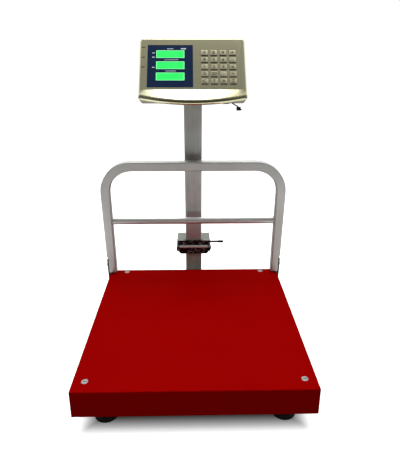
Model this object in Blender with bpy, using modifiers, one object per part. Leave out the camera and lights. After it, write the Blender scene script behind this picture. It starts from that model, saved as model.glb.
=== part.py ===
"""Folding platform scale: square pan, guard rail, column with a folding hinge, slanted indicator.

Metres, +Z up, the front is -Y. Run with blender --background --python part.py, or from the text editor.
"""
import math

import bmesh
import bpy
from mathutils import Matrix, Vector

# Clearances
GAP = 0.0003                # between pieces that touch
RUNNING = 0.0001            # between a pin and what turns on it

# Indicator, in its own frame: X across, Y up the face, Z out of the face, from the face's lower edge
FACE_ANGLE = math.radians(48.7)
FACE_FORWARD = 0.039        # face's lower edge in front of the pan's rear edge
FACE_RISE = 0.418           # face's lower edge above the pan top
CASE_WIDTH = 0.212
CASE_HEIGHT = 0.1228
CASE_DEPTH = 0.045
CASE_SHEET = 0.0012
CASE_EDGE = 0.004
CASE_CORNER = 0.0085        # rounding of the upper corners
CHIN_CENTRE = ((-0.0330, 0.0110), (-0.0393, 0.0053))
CHIN_SIDE = ((-0.0151, 0.0027), (-0.0211, -0.0026))
REAR_REACH = CASE_HEIGHT * math.cos(FACE_ANGLE) + CASE_DEPTH * math.sin(FACE_ANGLE) - FACE_FORWARD

# Pan
PAN_SIZE = 0.400            # square, in X and Y
PAN_SKIRT = 0.051
PAN_FLARE = 0.0015          # how far the skirt leans out at its lower edge
PAN_SHEET = 0.0015
PAN_FOLD = 0.002            # radius of the folded edges
PAN_FRONT = -(PAN_SIZE + REAR_REACH - PAN_FLARE) / 2
PAN_REAR = PAN_FRONT + PAN_SIZE
PAN_HALF = PAN_SIZE / 2

# Feet and the heights that stand on them
FOOT_X = PAN_HALF - 0.0443
FOOT_INSET = 0.046          # from the pan's front and rear edges
FOOT_RADIUS = 0.021
FOOT_PAD = 0.015
FOOT_ROOM = 0.011           # between the foot and the base frame
FOOT_COLLAR = 0.009
STEM_RADIUS = 0.005
NUT_RADIUS = 0.0095
NUT_HEIGHT = 0.008
BASE_DEPTH = 0.022
BASE_TOP = FOOT_PAD + FOOT_ROOM + BASE_DEPTH
STEM_TOP = BASE_TOP + 0.011

# Load cell
CELL_LENGTH = 0.130
CELL_WIDTH = 0.030
CELL_HEIGHT = 0.022
CELL_FOOT = 0.004
CELL_HEAD = 0.0166
CELL_SEAT = 0.022           # length of its foot and of its head
CELL_HOLE = 0.0085
CELL_HOLE_SPACING = 0.026

# Frames under the pan
FRAME_SHEET = 0.003
DECK_HEIGHT = BASE_TOP + CELL_FOOT + CELL_HEIGHT + CELL_HEAD + FRAME_SHEET + PAN_SHEET + 3 * GAP
DECK_FRAME_DEPTH = 0.018
DECK_FRAME_EDGE = 0.0045    # from the pan's outside
DECK_BAR = 0.032
CENTRE_BAR = 0.060
BASE_BAR = 0.040
BASE_FRONT_INSET = 0.020
BASE_REAR_INSET = 0.004
SCREW_FRONT = (PAN_HALF - 0.0206, 0.0240)   # from the centre line, from the pan's front edge
SCREW_REAR = (PAN_HALF - 0.0390, 0.0100)    # from the centre line, from the pan's rear edge
SCREW_RADIUS = 0.0029
SCREW_HEAD = 0.0055
SCREW_SINK = 0.0001         # countersunk heads lie this far below the pan's face
SCREW_RIM = 0.0002
SCREW_CONE = 0.0013
SCREW_SLOT = 0.0012
SCREW_LENGTH = 0.0132

# Guard rail
RAIL_SIDE = 0.020
RAIL_CORNER = 0.0025
RAIL_WALL = 0.0015
RAIL_HALF_WIDTH = PAN_HALF + 0.0045     # outside of the legs
RAIL_TOP = 0.270            # above the pan top
RAIL_BEND = 0.070           # outside of the bend
RAIL_END = 0.0042           # above the pan top
RAIL_Y = PAN_REAR - 0.0104
RAIL_PIVOT_Z = DECK_HEIGHT + 0.0215
CROSSBAR_RADIUS = 0.008
CROSSBAR_WALL = 0.0012
CROSSBAR_Z = DECK_HEIGHT + 0.1325
PLATE = 0.0025
PLATE_TOP = DECK_HEIGHT + 0.0384
PLATE_WIDTH = 0.020
PLATE_DROP = 0.012          # how far the bracket passes below the skirt
SQUEEZE = PLATE + GAP       # the legs' lower ends are narrower by this, so the plate is flush
SQUEEZE_TOP = PLATE_TOP + 0.003
SQUEEZE_BLEND = 0.004
BOLT_RADIUS = 0.004
BOLT_HEAD = 0.0065
BOLT_HEAD_HEIGHT = 0.0020

# Column and its folding hinge
COLUMN_SIDE = 0.038
COLUMN_CORNER = 0.003
COLUMN_WALL = 0.0015
COLUMN_Y = PAN_REAR + 0.033
COLUMN_TOP = DECK_HEIGHT + FACE_RISE - 0.023
FLANGE_SHEET = 0.003
FLANGE_DEPTH = 0.047
LOWER_WIDTH = 0.082
LOWER_TOP = DECK_HEIGHT + 0.0562
LOWER_LIP = 0.0182
LOWER_CHAMFER = (0.0105, 0.0125, 0.014)  # cut off the lower front corners: across, up, back
UPPER_WIDTH = 0.078
UPPER_RISE = 0.0166
UPPER_TOP = LOWER_TOP + UPPER_RISE
UPPER_LIP = 0.0143
UPPER_CHAMFER = (0.0095, 0.0110, 0.012)
HINGE_Y = COLUMN_Y - FLANGE_DEPTH / 2 - 0.0010
HINGE_Z = LOWER_TOP + 0.0012
HINGE_PIN = 0.0018
KNUCKLE = 0.0034
CENTRE_KNUCKLE = 0.028
SIDE_KNUCKLE_END = 0.034
MOUNT_WIDTH = 0.090
MOUNT_SHEET = 0.005
MOUNT_FOLD = 0.0065
MOUNT_REACH = 0.080         # how far it runs in under the pan
MOUNT_FRONT = PAN_REAR - MOUNT_REACH
MOUNT_LIP = 0.013

# Latch
LATCH_X = 0.029
LATCH_SHEET = 0.004
LATCH_Y = COLUMN_Y - 0.002
LATCH_Z = LOWER_TOP - 0.011
LATCH_PIN = 0.0025
LATCH_EYE = 0.006
LATCH_STEM = 0.004          # half the hook's width
HOOK_LOW = 0.0175           # underside of the hook's nose, above the latch pin
HOOK_TOP = 0.0225
HOOK_TIP = 0.0068
CATCH_LOW = 0.0145          # above the latch pin
CATCH_SHEET = 0.0025
CATCH_FRONT = 0.008         # behind the latch pin
ROD_RADIUS = 0.0023
ROD_TIP = 0.0029            # radius of the grip at its end
ROD_GRIP = 0.013            # length of the grip
ROD_SWING = 0.0105          # room in front of the rod for its release
ROD_RISE = 0.0150           # above the latch pin
ROD_END = 0.073
SPRING_RADIUS = 0.0036
SPRING_WIRE = 0.0004
SPRING_TURNS = 4
SPRING_PITCH = 0.0011

# What the indicator carries, in the indicator's frame
FACE_FOOT = Vector((0, PAN_REAR - FACE_FORWARD, DECK_HEIGHT + FACE_RISE))
PANEL_X = (-0.4236 * CASE_WIDTH, 0.0033 * CASE_WIDTH)
PANEL_Y = (0.0407 * CASE_HEIGHT, 0.8550 * CASE_HEIGHT)
PANEL_SHEET = 0.003
WINDOW_X = (-0.3410 * CASE_WIDTH, -0.0769 * CASE_WIDTH)
WINDOW_ROWS = (0.2468 * CASE_HEIGHT, 0.4609 * CASE_HEIGHT, 0.6759 * CASE_HEIGHT)
WINDOW_HEIGHT = 0.1507 * CASE_HEIGHT
KEY_COLUMNS = 4
KEY_ROWS = 5
KEY_FIRST = (0.1123 * CASE_WIDTH, 0.1466 * CASE_HEIGHT)
KEY_PITCH = (0.0877 * CASE_WIDTH, 0.1360 * CASE_HEIGHT)
KEY_SIZE = (0.0670 * CASE_WIDTH, 0.0961 * CASE_HEIGHT)
KEY_RISE = 0.0022
KEY_FLANGE = 0.001
KEY_TRAVEL = 0.0012
SLOT_ROWS = (0.426 * CASE_HEIGHT, 0.615 * CASE_HEIGHT, 0.811 * CASE_HEIGHT)
SLOT_SIZE = (0.007, 0.0020)
BOARD_SHEET = 0.0016
BOARD_RIGHT = 0.4434 * CASE_WIDTH
BOARD_Y = (0.0651 * CASE_HEIGHT, 0.7981 * CASE_HEIGHT)
COVER_SHEET = 0.0015
TILT_Y = 0.3689 * CASE_HEIGHT
TILT_DROP = 0.011           # tilt axis behind the case's back
TILT_EYE = 0.007
LUG_WIDTH = 0.030
EAR_SHEET = 0.003
KNOB_RADIUS = 0.010
KNOB_LENGTH = 0.012
BATTERY = (0.090, 0.044, 0.022)
BATTERY_AT = (-0.3538 * CASE_WIDTH, 0.4886 * CASE_HEIGHT)
SWITCH = (0.013, 0.019)
SWITCH_AT = (0.3302 * CASE_WIDTH, 0.2443 * CASE_HEIGHT)
SWITCH_LEAN = math.radians(7)
SOCKET_X = 0.3113 * CASE_WIDTH
SOCKET_RADIUS = 0.0045

FINISHES = {
    "red_enamel": ((0.55, 0.02, 0.01), 0.35, 0.0),
    "grey_enamel": ((0.45, 0.45, 0.43), 0.40, 0.3),
    "zinc_plate": ((0.60, 0.61, 0.60), 0.35, 1.0),
    "dark_steel": ((0.10, 0.10, 0.11), 0.45, 0.8),
    "brushed_stainless": ((0.62, 0.60, 0.53), 0.30, 1.0),
    "cell_aluminium": ((0.70, 0.70, 0.72), 0.40, 1.0),
    "rubber": ((0.02, 0.02, 0.02), 0.80, 0.0),
    "blue_panel": ((0.01, 0.02, 0.10), 0.25, 0.0),
    "green_lcd": ((0.05, 0.85, 0.25), 0.30, 0.0),
    "circuit_board": ((0.03, 0.20, 0.08), 0.55, 0.0),
    "black_plastic": ((0.03, 0.03, 0.03), 0.45, 0.0),
    "key_silver": ((0.60, 0.59, 0.55), 0.35, 0.6),
}


def clear_scene():
    for item in list(bpy.data.objects):
        bpy.data.objects.remove(item, do_unlink=True)
    for group in list(bpy.data.collections):
        bpy.data.collections.remove(group)


def make_collection(name):
    group = bpy.data.collections.new(name)
    bpy.context.scene.collection.children.link(group)
    return group


def make_material(name, colour, roughness, metallic):
    material = bpy.data.materials.new(name)
    material.use_nodes = True
    shader = material.node_tree.nodes["Principled BSDF"]
    shader.inputs["Base Color"].default_value = (*colour, 1.0)
    shader.inputs["Roughness"].default_value = roughness
    shader.inputs["Metallic"].default_value = metallic
    material.diffuse_color = (*colour, 1.0)
    return material


def add_part(name, bm, finish, matrix=None):
    """Turn a bmesh into a named part with its finish."""
    mesh = bpy.data.meshes.new(name)
    bm.to_mesh(mesh)
    bm.free()
    part = bpy.data.objects.new(name, mesh)
    PARTS.objects.link(part)
    mesh.materials.append(MATERIALS[finish])
    if matrix is not None:
        part.matrix_world = matrix
    return part


def as_tool(part):
    """Move a helper body to the cutters collection."""
    PARTS.objects.unlink(part)
    TOOLS.objects.link(part)
    part.hide_render = True
    part.display_type = "WIRE"
    return part


def combine(part, tool, operation):
    as_tool(tool)
    boolean = part.modifiers.new(operation.lower() + " " + tool.name, "BOOLEAN")
    boolean.operation = operation
    boolean.solver = "EXACT"
    boolean.object = tool
    return part


def cut(part, tool):
    return combine(part, tool, "DIFFERENCE")


def weld(part, tool):
    return combine(part, tool, "UNION")


def bevel(part, width, segments):
    rounding = part.modifiers.new("edges", "BEVEL")
    rounding.width = width
    rounding.segments = segments
    rounding.limit_method = "ANGLE"
    rounding.angle_limit = math.radians(30)
    rounding.use_clamp_overlap = True
    return part


def shell(part, thickness):
    """Give a sheet its thickness, inwards from the modelled face."""
    sheet = part.modifiers.new("sheet", "SOLIDIFY")
    sheet.thickness = thickness
    sheet.offset = -1
    sheet.solidify_mode = "NON_MANIFOLD"
    sheet.nonmanifold_thickness_mode = "CONSTRAINTS"
    return part


def block_mesh(boxes):
    """Separate boxes in one mesh, each given as (low corner, high corner)."""
    bm = bmesh.new()
    for low, high in boxes:
        size = Vector(high) - Vector(low)
        middle = (Vector(high) + Vector(low)) / 2
        matrix = Matrix.Translation(middle) @ Matrix.Diagonal((*size, 1))
        bmesh.ops.create_cube(bm, size=1, matrix=matrix)
    return bm


def block(name, low, high, finish, matrix=None):
    return add_part(name, block_mesh([(low, high)]), finish, matrix)


def rods(name, radius, ends, finish, segments=24, matrix=None):
    """Round bars in one mesh, each from one end to the other."""
    bm = bmesh.new()
    for start, end in ends:
        line = Vector(end) - Vector(start)
        turn = line.to_track_quat("Z", "Y").to_matrix().to_4x4()
        middle = Matrix.Translation((Vector(start) + Vector(end)) / 2)
        bmesh.ops.create_cone(bm, cap_ends=True, segments=segments, radius1=radius, radius2=radius,
                              depth=line.length, matrix=middle @ turn)
    return add_part(name, bm, finish, matrix)


def turned(name, profile, finish, segments=28, closed=False, matrix=None):
    """Spin a profile of (radius, height) pairs, listed downwards on its outer side, about Z."""
    bm = bmesh.new()
    points = [bm.verts.new((radius, 0, height)) for radius, height in profile]
    for first, second in zip(points, points[1:]):
        bm.edges.new((first, second))
    if closed:
        bm.edges.new((points[-1], points[0]))
    part = add_part(name, bm, finish, matrix)
    spin = part.modifiers.new("turn", "SCREW")
    spin.steps = segments
    spin.render_steps = segments
    spin.use_merge_vertices = True
    spin.merge_threshold = 0.00001
    spin.use_smooth_shade = False
    return part


def extruded(name, outline, low, high, finish, axis="X", matrix=None):
    """Extrude an outline of (Y, Z) pairs along X, or of (X, Z) pairs along Y, or of (X, Y) along Z."""
    bm = bmesh.new()
    corners = []
    for first, second in outline:
        place = {"X": (low, first, second), "Y": (first, low, second), "Z": (first, second, low)}[axis]
        corners.append(bm.verts.new(place))
    face = bm.faces.new(corners)
    step = {"X": (high - low, 0, 0), "Y": (0, high - low, 0), "Z": (0, 0, high - low)}[axis]
    grown = bmesh.ops.extrude_face_region(bm, geom=[face])
    moved = [item for item in grown["geom"] if isinstance(item, bmesh.types.BMVert)]
    bmesh.ops.translate(bm, verts=moved, vec=step)
    bmesh.ops.recalc_face_normals(bm, faces=bm.faces)
    return add_part(name, bm, finish, matrix)


def pressing(name, x_lines, y_lines, filled, top, depth, thickness, finish, edge=0.0, flare=0.0):
    """A pressed sheet: cells of a grid at the top, walls turned down along their outline.

    filled lists the (column, row) cells that carry sheet; the others stay open bays. flare is how far
    the outer walls lean out at their lower edge.
    """
    bm = bmesh.new()
    corners = {}
    for column, row in filled:
        loop = []
        for across, along in ((column, row), (column + 1, row), (column + 1, row + 1), (column, row + 1)):
            if (across, along) not in corners:
                corners[across, along] = bm.verts.new((x_lines[across], y_lines[along], top))
            loop.append(corners[across, along])
        bm.faces.new(loop)
    outline = [item for item in bm.edges if item.is_boundary]
    grown = bmesh.ops.extrude_edge_only(bm, edges=outline)
    moved = [item for item in grown["geom"] if isinstance(item, bmesh.types.BMVert)]
    bmesh.ops.translate(bm, verts=moved, vec=(0, 0, -depth))
    for vert in moved:
        for axis, lines in enumerate((x_lines, y_lines)):
            if vert.co[axis] > lines[-1] - GAP:
                vert.co[axis] += flare
            elif vert.co[axis] < lines[0] + GAP:
                vert.co[axis] -= flare
    bmesh.ops.recalc_face_normals(bm, faces=bm.faces)
    level = [face for face in bm.faces if abs(face.normal.z) > 0.5]
    if level[0].normal.z < 0:
        bmesh.ops.reverse_faces(bm, faces=bm.faces)
    part = add_part(name, bm, finish)
    if edge:
        bevel(part, edge, 3)
    return shell(part, thickness)


def rounded_square(side, corner, steps):
    """Outline of a rounded square, anticlockwise, as (across, along) pairs."""
    points = []
    inner = side / 2 - corner
    for turn, (across, along) in enumerate(((1, 1), (-1, 1), (-1, -1), (1, -1))):
        for step in range(steps + 1):
            angle = math.pi / 2 * (turn + step / steps)
            points.append((across * inner + corner * math.cos(angle),
                           along * inner + corner * math.sin(angle)))
    return points


def bent_tube(name, path, side, corner, wall, finish, steps=3):
    """Sweep a rounded square tube along a path of (X, Z) pairs; its ends stay open."""
    outside = rounded_square(side, corner, steps)
    inside = rounded_square(side - 2 * wall, max(corner - wall, 0.0005), steps)
    spots = [Vector((across, 0, height)) for across, height in path]
    bm = bmesh.new()
    rings = []
    for index, spot in enumerate(spots):
        ahead = (spots[min(index + 1, len(spots) - 1)] - spot).normalized()
        behind = (spot - spots[max(index - 1, 0)]).normalized()
        along = (ahead + behind).normalized()
        stretch = 1 / max(along.dot(ahead if ahead.length else behind), 0.5)
        normal = Vector((0, 1, 0)).cross(along)
        ring = []
        for outline in (outside, inside):
            ring.append([bm.verts.new(spot + normal * first * stretch + Vector((0, 1, 0)) * second)
                         for first, second in outline])
        rings.append(ring)
    count = len(outside)
    for lower, upper in zip(rings, rings[1:]):
        for skin in (0, 1):
            for index in range(count):
                after = (index + 1) % count
                bm.faces.new((lower[skin][index], lower[skin][after], upper[skin][after], upper[skin][index]))
    for ring in (rings[0], rings[-1]):
        for index in range(count):
            after = (index + 1) % count
            bm.faces.new((ring[0][index], ring[0][after], ring[1][after], ring[1][index]))
    bmesh.ops.recalc_face_normals(bm, faces=bm.faces)
    return add_part(name, bm, finish)


def hang_on(axis_name, location, parts, turn=None):
    """Parent moving parts to an empty on their joint axis."""
    empty = bpy.data.objects.new(axis_name, None)
    empty.empty_display_size = 0.02
    PARTS.objects.link(empty)
    empty.matrix_world = Matrix.Translation(location) @ (turn or Matrix.Identity(4))
    for part in parts:
        part.parent = empty
        part.matrix_parent_inverse = empty.matrix_world.inverted()


def along_x(x, y, z, sign=1):
    """Matrix that stands a turned part's Z axis along X."""
    return Matrix.Translation((x, y, z)) @ Matrix.Rotation(sign * math.pi / 2, 4, "Y")


def make_base_frame():
    """Pressed frame on the feet: two side bars, a centre bar for the cell, a rear bar for the column."""
    side = FOOT_X
    front = PAN_FRONT + BASE_FRONT_INSET
    rear = PAN_REAR - BASE_REAR_INSET
    middle = PAN_FRONT + PAN_HALF
    x_lines = (-side - BASE_BAR / 2, -side + BASE_BAR / 2, side - BASE_BAR / 2, side + BASE_BAR / 2)
    y_lines = (front, middle - CENTRE_BAR / 2, middle + CENTRE_BAR / 2, rear - BASE_BAR, rear)
    filled = [(column, row) for column in (0, 2) for row in range(4)] + [(1, 1), (1, 3)]
    frame = pressing("base_frame", x_lines, y_lines, filled, BASE_TOP, BASE_DEPTH, FRAME_SHEET, "dark_steel")
    spots = foot_spots()
    nut_top = BASE_TOP - FRAME_SHEET / 2
    nut_bottom = BASE_TOP - FRAME_SHEET - NUT_HEIGHT
    weld(frame, rods("weld nuts", NUT_RADIUS, [((x, y, nut_bottom), (x, y, nut_top)) for x, y in spots],
                     "dark_steel", segments=6))
    cut(frame, rods("stem holes", STEM_RADIUS + GAP,
                    [((x, y, nut_bottom - 0.01), (x, y, BASE_TOP + 0.01)) for x, y in spots], "dark_steel"))
    return frame


def foot_spots():
    front = PAN_FRONT + FOOT_INSET
    rear = PAN_REAR - FOOT_INSET
    return [(-FOOT_X, front), (FOOT_X, front), (-FOOT_X, rear), (FOOT_X, rear)]


def make_feet():
    """Levelling feet: moulded rubber shoe, collar and stem."""
    profile = [(0, STEM_TOP), (STEM_RADIUS - 0.0008, STEM_TOP), (STEM_RADIUS, STEM_TOP - 0.0008),
               (STEM_RADIUS, FOOT_PAD + 0.004), (FOOT_COLLAR, FOOT_PAD + 0.004), (FOOT_COLLAR, FOOT_PAD),
               (FOOT_RADIUS - 0.006, FOOT_PAD), (FOOT_RADIUS - 0.003, FOOT_PAD - 0.001),
               (FOOT_RADIUS - 0.001, FOOT_PAD - 0.004), (FOOT_RADIUS, FOOT_PAD - 0.008),
               (FOOT_RADIUS, 0.002), (FOOT_RADIUS - 0.002, 0), (0, 0)]
    names = ("foot_front_left", "foot_front_right", "foot_rear_left", "foot_rear_right")
    for name, (x, y) in zip(names, foot_spots()):
        turned(name, profile, "rubber", matrix=Matrix.Translation((x, y, 0)))


def make_load_cell():
    """Bending-beam cell: one end stands on the base, the other carries the deck frame."""
    bottom = BASE_TOP + GAP + CELL_FOOT
    top = bottom + CELL_HEIGHT
    seat = top + CELL_HEAD
    middle = PAN_FRONT + PAN_HALF
    half = CELL_LENGTH / 2
    low = middle - half
    high = middle + half
    # the centre bar is narrower than the cell, so the foot sits inside it
    foot = middle - CENTRE_BAR / 2 + 0.004
    head = middle + CENTRE_BAR / 2 - 0.005
    outline = [(low, bottom), (foot, bottom), (foot, BASE_TOP + GAP), (foot + CELL_SEAT, BASE_TOP + GAP),
               (foot + CELL_SEAT, bottom), (high, bottom), (high, top), (head, top), (head, seat),
               (head - CELL_SEAT, seat), (head - CELL_SEAT, top), (low, top)]
    cell = extruded("load_cell", outline, -CELL_WIDTH / 2, CELL_WIDTH / 2, "cell_aluminium")
    height = (bottom + top) / 2
    reach = CELL_WIDTH
    holes = [((-reach, middle + side * CELL_HOLE_SPACING / 2, height),
              (reach, middle + side * CELL_HOLE_SPACING / 2, height)) for side in (-1, 1)]
    cut(cell, rods("cell holes", CELL_HOLE, holes, "cell_aluminium"))
    cut(cell, block("cell slot", (-reach, middle - CELL_HOLE_SPACING / 2, height - 0.002),
                    (reach, middle + CELL_HOLE_SPACING / 2, height + 0.002), "cell_aluminium"))


def screw_spots():
    front = PAN_FRONT + SCREW_FRONT[1]
    rear = PAN_REAR - SCREW_REAR[1]
    return [(-SCREW_FRONT[0], front), (SCREW_FRONT[0], front), (-SCREW_REAR[0], rear), (SCREW_REAR[0], rear)]


def make_deck():
    """Deck frame, pan and the four screws that hold the pan down."""
    edge = DECK_FRAME_EDGE
    front = PAN_FRONT + edge
    rear = PAN_REAR - edge
    middle = PAN_FRONT + PAN_HALF
    side = PAN_HALF - edge
    x_lines = (-side, -side + DECK_BAR, side - DECK_BAR, side)
    y_lines = (front, front + DECK_BAR, middle - CENTRE_BAR / 2, middle + CENTRE_BAR / 2, rear - DECK_BAR,
               rear)
    filled = [(column, row) for column in (0, 2) for row in range(5)] + [(1, 0), (1, 2), (1, 4)]
    frame_top = DECK_HEIGHT - PAN_SHEET - GAP
    frame = pressing("deck_frame", x_lines, y_lines, filled, frame_top, DECK_FRAME_DEPTH, FRAME_SHEET,
                     "dark_steel")
    pan = pressing("pan", (-PAN_HALF, PAN_HALF), (PAN_FRONT, PAN_REAR), [(0, 0)], DECK_HEIGHT, PAN_SKIRT,
                   PAN_SHEET, "red_enamel", edge=PAN_FOLD, flare=PAN_FLARE)
    top = DECK_HEIGHT - SCREW_SINK
    neck = top - SCREW_CONE
    low = top - SCREW_LENGTH
    profile = [(0, top), (SCREW_HEAD, top), (SCREW_HEAD, top - SCREW_RIM), (SCREW_RADIUS, neck),
               (SCREW_RADIUS, low), (0, low)]
    room = [(0, DECK_HEIGHT + SCREW_HEAD), (SCREW_HEAD + GAP, DECK_HEIGHT + SCREW_HEAD),
            (SCREW_HEAD + GAP, top - SCREW_RIM), (SCREW_RADIUS + GAP, neck),
            (SCREW_RADIUS + GAP, low - SCREW_HEAD), (0, low - SCREW_HEAD)]
    names = ("pan_screw_front_left", "pan_screw_front_right", "pan_screw_rear_left", "pan_screw_rear_right")
    for name, (x, y) in zip(names, screw_spots()):
        spot = Matrix.Translation((x, y, 0))
        for part in (frame, pan):
            cut(part, turned(name + " hole in " + part.name, room, "dark_steel", segments=20, matrix=spot))
        screw = turned(name, profile, "zinc_plate", segments=20, matrix=spot)
        arm = SCREW_HEAD * 0.6
        half = SCREW_SLOT / 2
        cut(screw, block(name + " slot", (x - arm, y - half, top - SCREW_CONE), (x + arm, y + half, top + half),
                         "zinc_plate"))


def make_guard_rail():
    """Bent square tube with a round crossbar, folding forward on two bolts."""
    leg = RAIL_HALF_WIDTH - RAIL_SIDE / 2
    top = DECK_HEIGHT + RAIL_TOP - RAIL_SIDE / 2
    radius = RAIL_BEND - RAIL_SIDE / 2
    path = [(leg, DECK_HEIGHT + RAIL_END), (leg, SQUEEZE_TOP), (leg, SQUEEZE_TOP + SQUEEZE_BLEND)]
    bend = 9
    for step in range(bend + 1):
        angle = math.pi / 2 * step / bend
        path.append((leg - radius + radius * math.cos(angle), top - radius + radius * math.sin(angle)))
    path += [(-across, height) for across, height in reversed(path)]
    tube = bent_tube("rail_tube", path, RAIL_SIDE, RAIL_CORNER, RAIL_WALL, "grey_enamel")
    for vert in tube.data.vertices:
        if vert.co.z < SQUEEZE_TOP + GAP and abs(vert.co.x) > leg:
            vert.co.x -= math.copysign(SQUEEZE, vert.co.x)
    tube.location.y = RAIL_Y
    inner = leg - RAIL_SIDE / 2
    reach = 0.03
    cut(tube, rods("rail bolt holes", BOLT_RADIUS + RUNNING,
                   [((side * leg, RAIL_Y, RAIL_PIVOT_Z), (side * (leg + reach), RAIL_Y, RAIL_PIVOT_Z))
                    for side in (-1, 1)], "grey_enamel"))
    half = inner - GAP
    ring = [(CROSSBAR_RADIUS, half), (CROSSBAR_RADIUS, -half), (CROSSBAR_RADIUS - CROSSBAR_WALL, -half),
            (CROSSBAR_RADIUS - CROSSBAR_WALL, half)]
    crossbar = turned("rail_crossbar", ring, "grey_enamel", segments=24, closed=True,
                      matrix=along_x(0, RAIL_Y, CROSSBAR_Z))
    for side, word in ((-1, "left"), (1, "right")):
        make_rail_mount(side, word, leg)
    hang_on("rail_axis", (0, RAIL_Y, RAIL_PIVOT_Z), (tube, crossbar))


def make_rail_mount(side, word, leg):
    """Strap bracket that passes outside the pan, and the bolt the leg turns on."""
    inner = leg + RAIL_SIDE / 2 - PLATE
    outer = inner + PLATE
    low = DECK_HEIGHT - PAN_SKIRT - PLATE_DROP
    top = low + PLATE_DROP
    base_side = FOOT_X + BASE_BAR / 2 + GAP
    outline = [(outer, low), (outer, PLATE_TOP), (inner, PLATE_TOP), (inner, low + FRAME_SHEET),
               (base_side + PLATE, low + FRAME_SHEET), (base_side + PLATE, top), (base_side, top),
               (base_side, low)]
    outline = [(side * across, height) for across, height in outline]
    plate = extruded("rail_bracket_" + word, outline, RAIL_Y - PLATE_WIDTH / 2, RAIL_Y + PLATE_WIDTH / 2,
                     "dark_steel", axis="Y")
    bevel(plate, 0.0006, 1)
    cut(plate, rods("bracket hole " + word, BOLT_RADIUS + RUNNING,
                    [((side * leg, RAIL_Y, RAIL_PIVOT_Z), (side * (outer + 0.01), RAIL_Y, RAIL_PIVOT_Z))],
                    "dark_steel"))
    start = leg - RAIL_SIDE / 2 + RAIL_WALL + GAP
    head = outer + GAP
    profile = [(0, head + BOLT_HEAD_HEIGHT), (BOLT_HEAD * 0.6, head + BOLT_HEAD_HEIGHT),
               (BOLT_HEAD * 0.9, head + BOLT_HEAD_HEIGHT * 0.6), (BOLT_HEAD, head + 0.0006),
               (BOLT_HEAD, head), (BOLT_RADIUS, head), (BOLT_RADIUS, start), (0, start)]
    turned("rail_bolt_" + word, profile, "zinc_plate", segments=24,
           matrix=along_x(0, RAIL_Y, RAIL_PIVOT_Z, side))


def make_column_mount():
    """Channel under the base frame that reaches back to the column, and the stub post on it."""
    rear = COLUMN_Y + COLUMN_SIDE / 2 + MOUNT_FOLD + GAP
    half = MOUNT_WIDTH / 2
    top = BASE_TOP - BASE_DEPTH - GAP
    mount = pressing("column_mount", (-half, half), (MOUNT_FRONT, rear), [(0, 0)], top, MOUNT_LIP,
                     MOUNT_SHEET, "dark_steel")
    bevel_first(mount, MOUNT_FOLD)
    square_post("column_stub", top + GAP, LOWER_TOP - FLANGE_SHEET - GAP, "grey_enamel")


def bevel_first(part, width):
    """Round a pressing's folds before its sheet gets thick."""
    bevel(part, width, 3)
    part.modifiers.move(len(part.modifiers) - 1, 0)


def square_post(name, bottom, top, finish):
    post = extruded(name, [(x, COLUMN_Y + y) for x, y in rounded_square(COLUMN_SIDE, COLUMN_CORNER, 3)],
                    bottom, top, finish, axis="Z")
    bore = rounded_square(COLUMN_SIDE - 2 * COLUMN_WALL, COLUMN_CORNER - COLUMN_WALL, 2)
    cut(post, extruded(name + " bore", [(x, COLUMN_Y + y) for x, y in bore], bottom - 0.01, top + 0.01,
                       finish, axis="Z"))
    return post


def knuckles(name, spans, tab_low, tab_high, finish):
    """Hinge knuckles over the given spans of X, each with a tab into its flange's front lip."""
    front = COLUMN_Y - FLANGE_DEPTH / 2
    barrel = rods(name, KNUCKLE, [((low, HINGE_Y, HINGE_Z), (high, HINGE_Y, HINGE_Z)) for low, high in spans],
                  finish, segments=20)
    tabs = block_mesh([((low, front + 0.0001, tab_low), (high, front + FLANGE_SHEET - 0.0001, tab_high))
                       for low, high in spans])
    weld(barrel, add_part(name + " tabs", tabs, finish))
    return barrel


def trim_lip(flange, half, bottom, corner):
    """Cut the lower front corners off a flange's lips."""
    front = COLUMN_Y - FLANGE_DEPTH / 2
    for side, word in ((-1, "left"), (1, "right")):
        wedge = [(side * (half + 0.001), bottom - 0.001), (side * (half - corner[0]), bottom - 0.001),
                 (side * (half + 0.001), bottom + corner[1])]
        cut(flange, extruded(flange.name + " corner " + word, wedge, front - 0.01,
                             front + corner[2], "zinc_plate", axis="Y"))


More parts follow.
